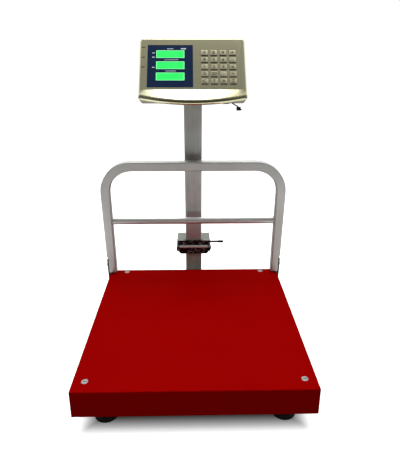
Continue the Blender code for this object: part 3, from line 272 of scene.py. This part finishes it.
def silvered_key_cap():
    """Moulded ABS cap with a silver coat: smooth, slightly warm, dulled by fingers."""
    return mottled("silvered_key_cap", "#C6C0A4", "#B3AC8E", 1.6, (0.30, 0.44), cloud=9, Metallic=0.85)[0]


def black_abs():
    """Moulded black ABS with a fine spark-eroded grain."""
    return mottled("black_abs", "#111111", "#1C1C1C", 0.8, (0.4, 0.55), relief=0.02)[0]


def solder_mask():
    """Green solder mask over glass board: even green, faintly mottled."""
    return mottled("solder_mask", "#1E6B3A", "#17592F", 0.8, (0.3, 0.4), relief=0.01)[0]


def legend_ink():
    """Dark pad-printed ink of the key figures, slightly patchy."""
    return mottled("legend_ink", "#1A1712", "#2A251C", 1.0, (0.5, 0.6),
                   **{"Specular IOR Level": 0.15})[0]


def white_print():
    """White screen print on the overlay, thin enough to look bluish."""
    return mottled("white_print", "#C3CCDC", "#DDE2EA", 1.0, (0.5, 0.6))[0]


def key_name(row, column):
    """The CAD's name of a key, counted from the upper left."""
    return "key_row%d_col%d" % (row + 1, column + 1)


def add_piece(name, mesh, body, material=None):
    """A finished piece: its mesh in place, riding on a body."""
    if material:
        mesh.materials.clear()
        mesh.materials.append(material)
    piece = bpy.data.objects.new(name, mesh)
    bpy.context.scene.collection.objects.link(piece)
    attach(piece, body)
    return piece


def give(node, material):
    """Put a material on a CAD node."""
    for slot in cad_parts[node].material_slots:
        slot.material = material


def refine(node, body, material, edge=0.0, smooth=35, flat=False):
    """A copy of a CAD node with its bends shaded round; edge softens edges, flat keeps sheets even."""
    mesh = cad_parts[node].data.copy()
    bm = bmesh.new()
    bm.from_mesh(mesh)
    bmesh.ops.remove_doubles(bm, verts=bm.verts, dist=0.002 * MM)
    bmesh.ops.dissolve_limit(bm, angle_limit=math.radians(0.6), verts=bm.verts, edges=bm.edges)
    bm.to_mesh(mesh)
    bm.free()
    mesh.name = node + "_skin"
    mesh.shade_smooth()
    mesh.set_sharp_from_angle(angle=math.radians(smooth))
    piece = add_piece(node + "_skin", mesh, body, material)
    if edge:
        soften = piece.modifiers.new("edges", "BEVEL")
        soften.width = edge
        soften.segments = EDGE_STEPS
        soften.limit_method = "ANGLE"
        soften.angle_limit = math.radians(smooth)
        soften.harden_normals = True
    if flat:
        even = piece.modifiers.new("even_shading", "WEIGHTED_NORMAL")
        even.keep_sharp = True
    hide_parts(node)
    return piece


def crease_chin(mesh):
    """Keep the fold between the indicator's face and its chin crisp."""
    inside = FACE.inverted()
    near = 0.3 * MM
    for edge in mesh.edges:
        ends = [inside @ mesh.vertices[index].co for index in edge.vertices]
        if all(abs(end.y) < near and abs(end.z) < near for end in ends):
            edge.use_edge_sharp = True


def start_pattern(name, sizes):
    """A geometry tree with a mesh coming in, named sizes, a material, and one geometry going out."""
    tree = bpy.data.node_groups.new(name, "GeometryNodeTree")
    tree.interface.new_socket("Geometry", in_out="INPUT", socket_type="NodeSocketGeometry")
    for size, kind in sizes.items():
        tree.interface.new_socket(size, in_out="INPUT", socket_type=kind)
    tree.interface.new_socket("Material", in_out="INPUT", socket_type="NodeSocketMaterial")
    tree.interface.new_socket("Geometry", in_out="OUTPUT", socket_type="NodeSocketGeometry")
    return tree, add_node(tree, "NodeGroupInput").outputs


def end_pattern(tree, given, result, smooth=True):
    """Realise the instances, shade them and give them their material."""
    real = add_node(tree, "GeometryNodeRealizeInstances", {"Geometry": result})
    shaded = add_node(tree, "GeometryNodeSetShadeSmooth",
                      {"Geometry": real.outputs[0], "Shade Smooth": smooth})
    painted = add_node(tree, "GeometryNodeSetMaterial",
                       {"Geometry": shaded.outputs[0], "Material": given["Material"]})
    add_node(tree, "NodeGroupOutput", {"Geometry": painted.outputs[0]})
    return tree


def weld_pattern():
    """Overlapping drops of weld metal along the incoming path."""
    tree, given = start_pattern("weld", {"Bead": "NodeSocketFloat", "Pitch": "NodeSocketFloat"})
    path = add_node(tree, "GeometryNodeMeshToCurve", {"Mesh": given["Geometry"]})
    spots = add_node(tree, "GeometryNodeResampleCurve",
                     {"Curve": path.outputs[0], "Length": given["Pitch"]}, mode="LENGTH")
    drop = add_node(tree, "GeometryNodeMeshIcoSphere", {"Radius": given["Bead"], "Subdivisions": 2})
    swell = add_node(tree, "FunctionNodeRandomValue", {"Min": 0.85, "Max": 1.1, "Seed": 11})
    set_out = add_node(tree, "GeometryNodeInstanceOnPoints",
                       {"Points": spots.outputs[0], "Instance": drop.outputs[0],
                        "Scale": swell.outputs["Value"]})
    return end_pattern(tree, given, set_out.outputs[0])


def thread_pattern():
    """A rolled thread: a small ridge wound up the Z axis."""
    tree, given = start_pattern("thread", {"Radius": "NodeSocketFloat", "Turns": "NodeSocketFloat",
                                           "Height": "NodeSocketFloat", "Ridge": "NodeSocketFloat"})
    helix = add_node(tree, "GeometryNodeCurveSpiral",
                     {"Resolution": 24, "Rotations": given["Turns"], "Start Radius": given["Radius"],
                      "End Radius": given["Radius"], "Height": given["Height"]})
    crest = add_node(tree, "GeometryNodeCurvePrimitiveCircle",
                     {"Resolution": 4, "Radius": given["Ridge"]})
    wound = add_node(tree, "GeometryNodeCurveToMesh",
                     {"Curve": helix.outputs[0], "Profile Curve": crest.outputs[0], "Fill Caps": True})
    return end_pattern(tree, given, wound.outputs[0], smooth=False)


def rib_pattern():
    """Blocks standing round the Z axis, each facing outwards."""
    tree, given = start_pattern("ribs", {"Count": "NodeSocketInt", "Radius": "NodeSocketFloat",
                                         "Block": "NodeSocketVector"})
    ring = add_node(tree, "GeometryNodeMeshCircle",
                    {"Vertices": given["Count"], "Radius": given["Radius"]})
    block = add_node(tree, "GeometryNodeMeshCube", {"Size": given["Block"]})
    spot = add_node(tree, "GeometryNodeInputPosition")
    facing = add_node(tree, "FunctionNodeAlignRotationToVector", {"Vector": spot.outputs[0]}, axis="X",
                      pivot_axis="Z")
    set_out = add_node(tree, "GeometryNodeInstanceOnPoints",
                       {"Points": ring.outputs[0], "Instance": block.outputs[0],
                        "Rotation": facing.outputs[0]})
    return end_pattern(tree, given, set_out.outputs[0], smooth=False)


def screw_pattern():
    """Domed screw heads on the incoming points, all facing the Z axis of their piece."""
    tree, given = start_pattern("screw_heads", {"Head": "NodeSocketFloat"})
    dome = add_node(tree, "GeometryNodeMeshUVSphere",
                    {"Segments": 20, "Rings": 12, "Radius": given["Head"]})
    flat = add_node(tree, "GeometryNodeTransform", {"Geometry": dome.outputs[0], "Scale": (1, 1, 0.45)})
    set_out = add_node(tree, "GeometryNodeInstanceOnPoints",
                       {"Points": given["Geometry"], "Instance": flat.outputs[0]})
    return end_pattern(tree, given, set_out.outputs[0])


def grow(name, tree, path, sizes, body, matrix=Matrix.Identity(4)):
    """Run a pattern on a path and keep the result as a plain mesh on its body."""
    holder = bpy.data.objects.new(name, path)
    bpy.context.scene.collection.objects.link(holder)
    modifier = holder.modifiers.new(name, "NODES")
    modifier.node_group = tree
    for item in tree.interface.items_tree:
        if item.in_out == "INPUT" and item.name in sizes:
            modifier[item.identifier] = sizes[item.name]
    graph = bpy.context.evaluated_depsgraph_get()
    mesh = bpy.data.meshes.new_from_object(holder.evaluated_get(graph))
    bpy.data.objects.remove(holder, do_unlink=True)
    mesh.transform(matrix)
    return add_piece(name, mesh, body)


def loop_path(name, points):
    """A closed path of points."""
    mesh = bpy.data.meshes.new(name)
    count = len(points)
    mesh.from_pydata(points, [(index, (index + 1) % count) for index in range(count)], [])
    return mesh


def weld_beads(material):
    """Beads where the crossbar meets the legs and where the posts meet their plates."""
    tree = weld_pattern()
    low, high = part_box("rail_crossbar")
    centre = (low + high) / 2
    radius = (high.z - low.z) / 2 + 0.2 * MM
    lift = 0.5 * MM
    steps = 32
    turns = [2 * math.pi * step / steps for step in range(steps)]
    round_bead = 1.3 * MM
    for side, word, end in ((1, "left", low.x), (-1, "right", high.x)):
        across = end + side * lift
        ring = [(across, centre.y + radius * math.cos(turn), centre.z + radius * math.sin(turn))
                for turn in turns]
        sizes = {"Bead": round_bead, "Pitch": round_bead, "Material": material}
        grow("crossbar_weld_" + word, tree, loop_path("ring", ring), sizes, "rail")
    corner = 3 * MM
    square_bead = 1.5 * MM
    for node, body in (("column_tube", "column"), ("column_stub", "base")):
        low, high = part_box(node)
        inset = [(low.x + corner, low.y), (high.x - corner, low.y), (high.x, low.y + corner),
                 (high.x, high.y - corner), (high.x - corner, high.y), (low.x + corner, high.y),
                 (low.x, high.y - corner), (low.x, low.y + corner)]
        foot = [(x, y, low.z + lift) for x, y in inset]
        sizes = {"Bead": square_bead, "Pitch": square_bead, "Material": material}
        grow(node + "_weld", tree, loop_path("foot", foot), sizes, body)


def foot_details(metal, rubber):
    """Rolled thread on each foot's stem and moulded lugs round its shoe."""
    thread = thread_pattern()
    lugs = rib_pattern()
    blank = bpy.data.meshes.new("blank")
    thread_start = 19.8 * MM
    thread_sizes = {"Radius": 4.95 * MM, "Turns": 5.0, "Height": 5.6 * MM, "Ridge": 0.35 * MM,
                    "Material": metal}
    lug_middle = 4.6 * MM
    lug_sunk = 0.2 * MM
    for place in CORNERS:
        node = "foot_" + place
        low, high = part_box(node)
        middle = (low + high) / 2
        radius = (high.x - low.x) / 2
        grow(node + "_thread", thread, blank.copy(), thread_sizes, node,
             Matrix.Translation((middle.x, middle.y, low.z + thread_start)))
        sizes = {"Count": 30, "Radius": radius - lug_sunk, "Block": (1.2 * MM, 1.6 * MM, 4.5 * MM),
                 "Material": rubber}
        grow(node + "_lugs", lugs, blank.copy(), sizes, node,
             Matrix.Translation((middle.x, middle.y, low.z + lug_middle)))


def knob_ribs(material):
    """Finger ribs round the knob of the indicator's clamp bolt."""
    low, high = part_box("tilt_bolt")
    radius = (high.z - low.z) / 2
    length = 7.5 * MM
    bare_end = 2.6 * MM
    sunk = 0.3 * MM
    centre = Vector((high.x - bare_end - length / 2, (low.y + high.y) / 2, (low.z + high.z) / 2))
    sizes = {"Count": 18, "Radius": radius - sunk, "Block": (1.4 * MM, 1.7 * MM, length),
             "Material": material}
    grow("knob_ribs", rib_pattern(), bpy.data.meshes.new("blank"), sizes, "column",
         Matrix.Translation(centre) @ Matrix.Rotation(math.pi / 2, 4, "Y"))


def strap_rivets(material):
    """A domed rivet low on the outside of each side strap."""
    tree = screw_pattern()
    sizes = {"Head": 4.2 * MM, "Material": material}
    height = PAN_TOP + 6 * MM
    for side, node in ((1, "rail_bracket_right"), (-1, "rail_bracket_left")):
        low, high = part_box(node)
        edge = high.x if side > 0 else low.x
        spot = bpy.data.meshes.new("rivet_spot")
        spot.from_pydata([(0, 0, 0)], [], [])
        outward = Matrix.Rotation(side * math.pi / 2, 4, "Y")
        grow(node + "_rivet", tree, spot, sizes, "base",
             Matrix.Translation((edge, (low.y + high.y) / 2, height)) @ outward)


def cover_screws(material):
    """Eight small domed screws round the edge of the back cover."""
    half = FACE_WIDTH / 2 - 10 * MM
    rows = (11 * MM, FACE_HEIGHT - 9 * MM)
    columns = (-half, -half / 3, half / 3, half)
    spots = bpy.data.meshes.new("cover_screw_spots")
    spots.from_pydata([(across, up, 0) for up in rows for across in columns], [], [])
    grow("cover_screws", screw_pattern(), spots, {"Head": 2.6 * MM, "Material": material}, "indicator",
         FACE @ Matrix.Translation((0, 0, -CASE_DEPTH)))


def key_figures(material):
    """A dark figure on every key, filled at a thousand times its size so that its outline stays true."""
    rows = len(KEY_LEGENDS)
    # In millimetres, as the outline is filled before it is scaled down
    height = 10.5
    bolder = 0.12
    thickness = 0.06
    lift = KEY_RISE + 0.04 * MM
    for row, legends in enumerate(KEY_LEGENDS):
        for column, legend in enumerate(legends):
            key = key_name(row, column)
            x = KEY_FIRST[0] + KEY_PITCH[0] * column
            y = KEY_FIRST[1] + KEY_PITCH[1] * (rows - 1 - row)
            curve = bpy.data.curves.new("figure_" + key, "FONT")
            curve.body = legend
            curve.size = height
            curve.offset = bolder
            curve.extrude = thickness
            curve.align_x = "CENTER"
            curve.align_y = "CENTER"
            curve.resolution_u = 2
            holder = bpy.data.objects.new(curve.name, curve)
            bpy.context.scene.collection.objects.link(holder)
            graph = bpy.context.evaluated_depsgraph_get()
            mesh = bpy.data.meshes.new_from_object(holder.evaluated_get(graph))
            bpy.data.objects.remove(holder, do_unlink=True)
            mesh.transform(FACE @ Matrix.Translation((x, y, lift)) @ Matrix.Scale(MM, 4))
            add_piece("figure_" + key, mesh, key, material)


def face_plate(name, corners, lift, material):
    """Thin plates at one height over the indicator's face, from lower left and upper right corners."""
    thickness = 0.1 * MM
    bm = bmesh.new()
    for low, high in corners:
        size = Vector((high[0] - low[0], high[1] - low[1], thickness))
        middle = Vector(((high[0] + low[0]) / 2, (high[1] + low[1]) / 2, lift))
        bmesh.ops.create_cube(bm, size=1, matrix=Matrix.Translation(middle) @ Matrix.Diagonal((*size, 1)))
    mesh = bpy.data.meshes.new(name)
    bm.to_mesh(mesh)
    bm.free()
    mesh.transform(FACE)
    return add_piece(name, mesh, "indicator", material)


def window_rims(material):
    """Pale rim where the backlight leaks round each window."""
    wide = 1.1 * MM
    left, right = WINDOW_X
    bars = []
    for row in WINDOW_ROWS:
        low = row - WINDOW_HEIGHT / 2
        high = row + WINDOW_HEIGHT / 2
        bars += [((left, low), (right, low + wide)), ((left, high - wide), (right, high)),
                 ((left, low + wide), (left + wide, high - wide)),
                 ((right - wide, low + wide), (right, high - wide))]
    return face_plate("window_rims", bars, -0.3 * MM, material)


def panel_marks(material):
    """Short plain printed bars above the windows, at their left and over their right corner."""
    left, right = WINDOW_X
    wide = right - left
    bars = []
    for row, (start, end) in zip(WINDOW_ROWS, ((0.34, 0.70), (0.28, 0.78), (0.38, 0.60))):
        low = row + WINDOW_HEIGHT / 2 + 2.6 * MM
        bars.append(((left + start * wide, low), (left + end * wide, low + 1.3 * MM)))
    for low in (84.5 * MM, 74.5 * MM, 50.5 * MM):
        bars.append(((left - 8.0 * MM, low), (left - 3.0 * MM, low + 1.8 * MM)))
    bars.append(((right - 7 * MM, 94 * MM), (right + 3 * MM, 97 * MM)))
    return face_plate("panel_marks", bars, 0.25 * MM, material)


def slot_shade_plates(material):
    """Black plates in the slots at the left edge of the face: painted shade in the slots."""
    left = -FACE_WIDTH / 2 + 4.2 * MM
    right = left + 6.4 * MM
    half = 0.8 * MM
    bars = [((left, share * FACE_HEIGHT - half), (right, share * FACE_HEIGHT + half))
            for share in SLOT_ROWS]
    return face_plate("slot_shade_plates", bars, -0.35 * MM, material)


def hinge_flanges():
    """The flanges' dulled plate, with front lips in painted shade and glints, and painted highlights on
    edges and knuckles.
    """
    plate = flange_plate()
    # The lips' near-black with bright spots is painted shade and painted glints
    dark_lip = painted_glint_lip()
    # The pale zinc is a painted highlight on the edges and knuckles
    rubbed = painted_highlight_zinc()
    knuckle = 4 * MM
    pin_low, pin_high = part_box("hinge_pin")
    axis = (pin_low + pin_high) / 2
    for node, body in (("hinge_lower_flange", "base"), ("hinge_upper_flange", "column")):
        piece = refine(node, body, plate, edge=0.6 * MM)
        # The softened edges take the pale zinc: a painted highlight along them
        piece.modifiers["edges"].material = 2
        skin = piece.data
        skin.materials.append(dark_lip)
        skin.materials.append(rubbed)
        # Faces round the hinge axis take the painted highlight; faces turned to the front take the
        # painted shade and glints of the lips
        for polygon in skin.polygons:
            offset = polygon.center - axis
            if Vector((offset.y, offset.z)).length < knuckle:
                polygon.material_index = 2
            elif polygon.normal.y < -0.3:
                polygon.material_index = 1


def key_caps(shade_sides):
    """A silvered cap on every key, with black sides as painted shade."""
    cap = silvered_key_cap()
    outward = FACE.col[2].xyz
    for row in range(len(KEY_LEGENDS)):
        for column in range(len(KEY_LEGENDS[0])):
            key = key_name(row, column)
            skin = refine(key, key, cap, edge=0.3 * MM).data
            skin.materials.append(shade_sides)
            for polygon in skin.polygons:
                # Side faces take the black: painted shade round each cap
                if polygon.normal.dot(outward) < 0.5:
                    polygon.material_index = 1


def dress():
    """Give every CAD node its finish and add the printed, welded and threaded detail."""
    silver = silver_flake_paint("silver_flake_paint", "#C2C3C0", "#B4B5B1", (0.36, 0.46))
    steel = brushed_stainless()
    # A lighter copy of the rail's silver paint, for the crossbar: a painted highlight
    bright = silver_flake_paint("highlit_flake_paint", "#D6D7D4", "#CCCDCA", (0.32, 0.42))
    zinc = zinc_plate()
    black = black_chassis_paint()
    straps = bracket_paint()
    screw = plated_screw()
    rubber = moulded_rubber()
    plastic = black_abs()
    refine("pan", "base", red_baking_enamel(), smooth=50, flat=True)
    for node in ("base_frame", "deck_frame", "column_mount"):
        give(node, black)
    give("load_cell", milled_aluminium())
    for node in ("rail_bracket_left", "rail_bracket_right"):
        refine(node, "base", straps, edge=0.4 * MM)
    refine("rail_tube", "rail", silver, flat=True)
    # The crossbar takes the lighter copy of the silver paint: painted highlight along it
    refine("rail_crossbar", "rail", bright)
    refine("column_stub", "base", counter_tinted_stub())
    refine("column_tube", "column", drawn_column_paint())
    refine("tilt_bracket", "column", silver, edge=0.5 * MM)
    hinge_flanges()
    for node in ("hinge_pin", "latch_pin"):
        refine(node, "base", zinc)
    refine("latch_hook", "latch", zinc)
    refine("latch_rod", "latch", blackened_steel())
    give("latch_spring", zinc)
    for place in CORNERS:
        refine("pan_screw_" + place, "base", screw)
        refine("foot_" + place, "foot_" + place, rubber)
    for node in ("rail_bolt_left", "rail_bolt_right"):
        refine(node, "base", zinc)
    crease_chin(refine("indicator_case", "indicator", steel, smooth=50, flat=True).data)
    refine("back_cover", "indicator", steel, flat=True)
    give("display_panel", printed_blue_overlay())
    give("display_module", lit_green_window("lit_green_window", "#35EA69", "#2FDF62", 0.45))
    window_rims(lit_green_window("pale_window_rim", "#9BEFB8", "#8CE9AC", 0.7))
    give("main_board", solder_mask())
    give("battery", plastic)
    refine("charging_socket", "indicator", plastic)
    refine("tilt_bolt", "column", plastic)
    refine("power_rocker", "rocker", plastic, edge=0.3 * MM)
    refine("socket_plug", "indicator", rubber)
    key_caps(plastic)
    key_figures(legend_ink())
    panel_marks(white_print())
    slot_shade_plates(plastic)
    weld_beads(silver)
    foot_details(zinc, rubber)
    knob_ribs(plastic)
    cover_screws(zinc)
    strap_rivets(zinc)


def place_camera():
    """The camera where the photograph was taken from."""
    camera = bpy.data.cameras.new("camera")
    camera.sensor_width = SENSOR
    camera.lens = FOCAL * SENSOR / IMAGE[1]
    camera.shift_y = (PRINCIPAL_Y - IMAGE[1] / 2) / IMAGE[1]
    camera.clip_end = 60
    eye = bpy.data.objects.new("camera", camera)
    bpy.context.scene.collection.objects.link(eye)
    ahead = Vector((math.sin(YAW), math.cos(YAW), 0))
    side = Vector((math.cos(YAW), -math.sin(YAW), 0))
    rise = ahead * math.sin(PITCH) + Vector((0, 0, math.cos(PITCH)))
    look = ahead * math.cos(PITCH) - Vector((0, 0, math.sin(PITCH)))
    right = side * math.cos(ROLL) + rise * math.sin(ROLL)
    up = rise * math.cos(ROLL) - side * math.sin(ROLL)
    turn = Matrix((right, up, -look)).transposed().to_4x4()
    eye.matrix_world = Matrix.Translation(CAMERA_SPOT) @ turn
    bpy.context.scene.camera = eye


def hang_lamps():
    """A wide soft ceiling for the diffuse light, two softboxes that only metal mirrors, weak fills."""
    mirrored_only = ("chin_softbox", "rear_softbox")
    # Name, place and side in metres, power in watts
    lamps = (("ceiling_softbox", (0, -0.1, 2.5), 2.4, 53.0),
             ("chin_softbox", (-0.02, 0.87, 2.3), 0.46, 5.2),
             ("rear_softbox", (0, 1.8, 2.6), 1.4, 30.0),
             ("front_left", (-1.6, -1.6, 1.2), 1.0, 0.45),
             ("front_right", (1.6, -1.6, 1.2), 1.0, 0.38))
    lit_spot = Vector((0, 0, 0.2))
    for name, place, size, power in lamps:
        lamp = bpy.data.lights.new(name, "AREA")
        lamp.size = size
        lamp.energy = power
        light = bpy.data.objects.new(name, lamp)
        bpy.context.scene.collection.objects.link(light)
        aim = (lit_spot - Vector(place)).to_track_quat("-Z", "Y")
        light.matrix_world = Matrix.Translation(place) @ aim.to_matrix().to_4x4()
        light.visible_glossy = name != "ceiling_softbox"
        light.visible_diffuse = name not in mirrored_only


def studio_walls():
    """White to the camera, weak as light; to metal a white backdrop behind and a dark room in front."""
    white = (1, 1, 1, 1)
    world = bpy.data.worlds.new("studio")
    world.use_nodes = True
    bpy.context.scene.world = world
    tree = world.node_tree
    tree.nodes.clear()
    rays = add_node(tree, "ShaderNodeLightPath").outputs
    way = add_node(tree, "ShaderNodeTexCoord").outputs["Generated"]
    back = add_node(tree, "ShaderNodeSeparateXYZ", {"Vector": way}).outputs["Y"]
    front = add_node(tree, "ShaderNodeMapRange",
                     {"Value": back, "From Min": -0.6, "From Max": -0.38, "To Min": 0.07, "To Max": 0.36})
    rear = add_node(tree, "ShaderNodeMapRange",
                    {"Value": back, "From Min": -0.12, "From Max": 0.3, "To Min": 0.0, "To Max": 1.0})
    walls = add_node(tree, "ShaderNodeMath", {0: front.outputs[0], 1: rear.outputs[0]}, operation="ADD")
    mirrored = add_node(tree, "ShaderNodeBackground", {"Color": white, "Strength": walls.outputs[0]})
    lit = add_node(tree, "ShaderNodeBackground", {"Color": white, "Strength": 0.11})
    seen = add_node(tree, "ShaderNodeBackground", {"Color": white, "Strength": 1.0})
    glossy = add_node(tree, "ShaderNodeMath",
                      {0: rays["Is Glossy Ray"], 1: rays["Is Transmission Ray"]}, operation="MAXIMUM")
    indirect = add_node(tree, "ShaderNodeMixShader",
                        {0: glossy.outputs[0], 1: lit.outputs[0], 2: mirrored.outputs[0]})
    mixed = add_node(tree, "ShaderNodeMixShader",
                     {0: rays["Is Camera Ray"], 1: indirect.outputs[0], 2: seen.outputs[0]})
    add_node(tree, "ShaderNodeOutputWorld", {"Surface": mixed.outputs[0]})


def lay_floor():
    """Paper floor: white to the camera with a painted shadow under the scale, grey as a source of bounced
    light.
    """
    bm = bmesh.new()
    bmesh.ops.create_grid(bm, x_segments=1, y_segments=1, size=25.0)
    mesh = bpy.data.meshes.new("studio_floor")
    bm.to_mesh(mesh)
    bm.free()
    floor = bpy.data.objects.new("studio_floor", mesh)
    bpy.context.scene.collection.objects.link(floor)
    material, tree, place = start_finish("white_paper_floor")
    rays = add_node(tree, "ShaderNodeLightPath").outputs
    middle = (PAN_FRONT + PAN_REAR) / 2
    spot = add_node(tree, "ShaderNodeMapping", {"Vector": place, "Location": (0, -middle, 0)})
    split = add_node(tree, "ShaderNodeSeparateXYZ", {"Vector": spot.outputs[0]})
    across = add_node(tree, "ShaderNodeMath", {0: split.outputs["X"]}, operation="ABSOLUTE")
    along = add_node(tree, "ShaderNodeMath", {0: split.outputs["Y"]}, operation="ABSOLUTE")
    reach = add_node(tree, "ShaderNodeMath", {0: across.outputs[0], 1: along.outputs[0]},
                     operation="MAXIMUM")
    # The paper's glow is masked off under the pan with a soft edge, a painted shadow over the real shade
    # there
    half = (PAN_REAR - PAN_FRONT) / 2
    glow = add_node(tree, "ShaderNodeMapRange",
                    {"Value": reach.outputs[0], "From Min": half - 44 * MM, "From Max": half + 14 * MM,
                     "To Min": 0.0, "To Max": 1.0}, interpolation_type="SMOOTHSTEP")
    # What metal mirrors of it fades with the distance, in metres, and is weaker behind the scale
    sweep = add_node(tree, "ShaderNodeMapRange",
                     {"Value": reach.outputs[0], "From Min": 1.0, "From Max": 2.6, "To Min": 0.9,
                      "To Max": 0.05})
    behind = add_node(tree, "ShaderNodeMapRange",
                      {"Value": split.outputs["Y"], "From Min": 0.1, "From Max": 0.5, "To Min": 1.0,
                       "To Max": 0.25})
    dimmed = add_node(tree, "ShaderNodeMath", {0: sweep.outputs[0], 1: behind.outputs[0]},
                      operation="MULTIPLY")
    mirrored = add_node(tree, "ShaderNodeMath", {0: rays["Is Glossy Ray"], 1: dimmed.outputs[0]},
                        operation="MULTIPLY")
    watched = add_node(tree, "ShaderNodeMath", {0: rays["Is Camera Ray"], 1: mirrored.outputs[0]},
                       operation="MAXIMUM")
    strength = add_node(tree, "ShaderNodeMath", {0: glow.outputs[0], 1: watched.outputs[0]},
                        operation="MULTIPLY")
    white = add_node(tree, "ShaderNodeBsdfDiffuse", {"Color": ink("#F4F4F2")})
    grey = add_node(tree, "ShaderNodeBsdfDiffuse", {"Color": ink("#8A8A89")})
    paper = add_node(tree, "ShaderNodeMixShader",
                     {0: watched.outputs[0], 1: grey.outputs[0], 2: white.outputs[0]})
    light = add_node(tree, "ShaderNodeEmission", {"Color": (1, 1, 1, 1), "Strength": strength.outputs[0]})
    both = add_node(tree, "ShaderNodeAddShader", {0: paper.outputs[0], 1: light.outputs[0]})
    add_node(tree, "ShaderNodeOutputMaterial", {"Surface": both.outputs[0]})
    mesh.materials.append(material)


bpy.context.scene.view_settings.view_transform = "Standard"
place_camera()
hang_lamps()
studio_walls()
lay_floor()
dress()
bpy.context.view_layer.update()
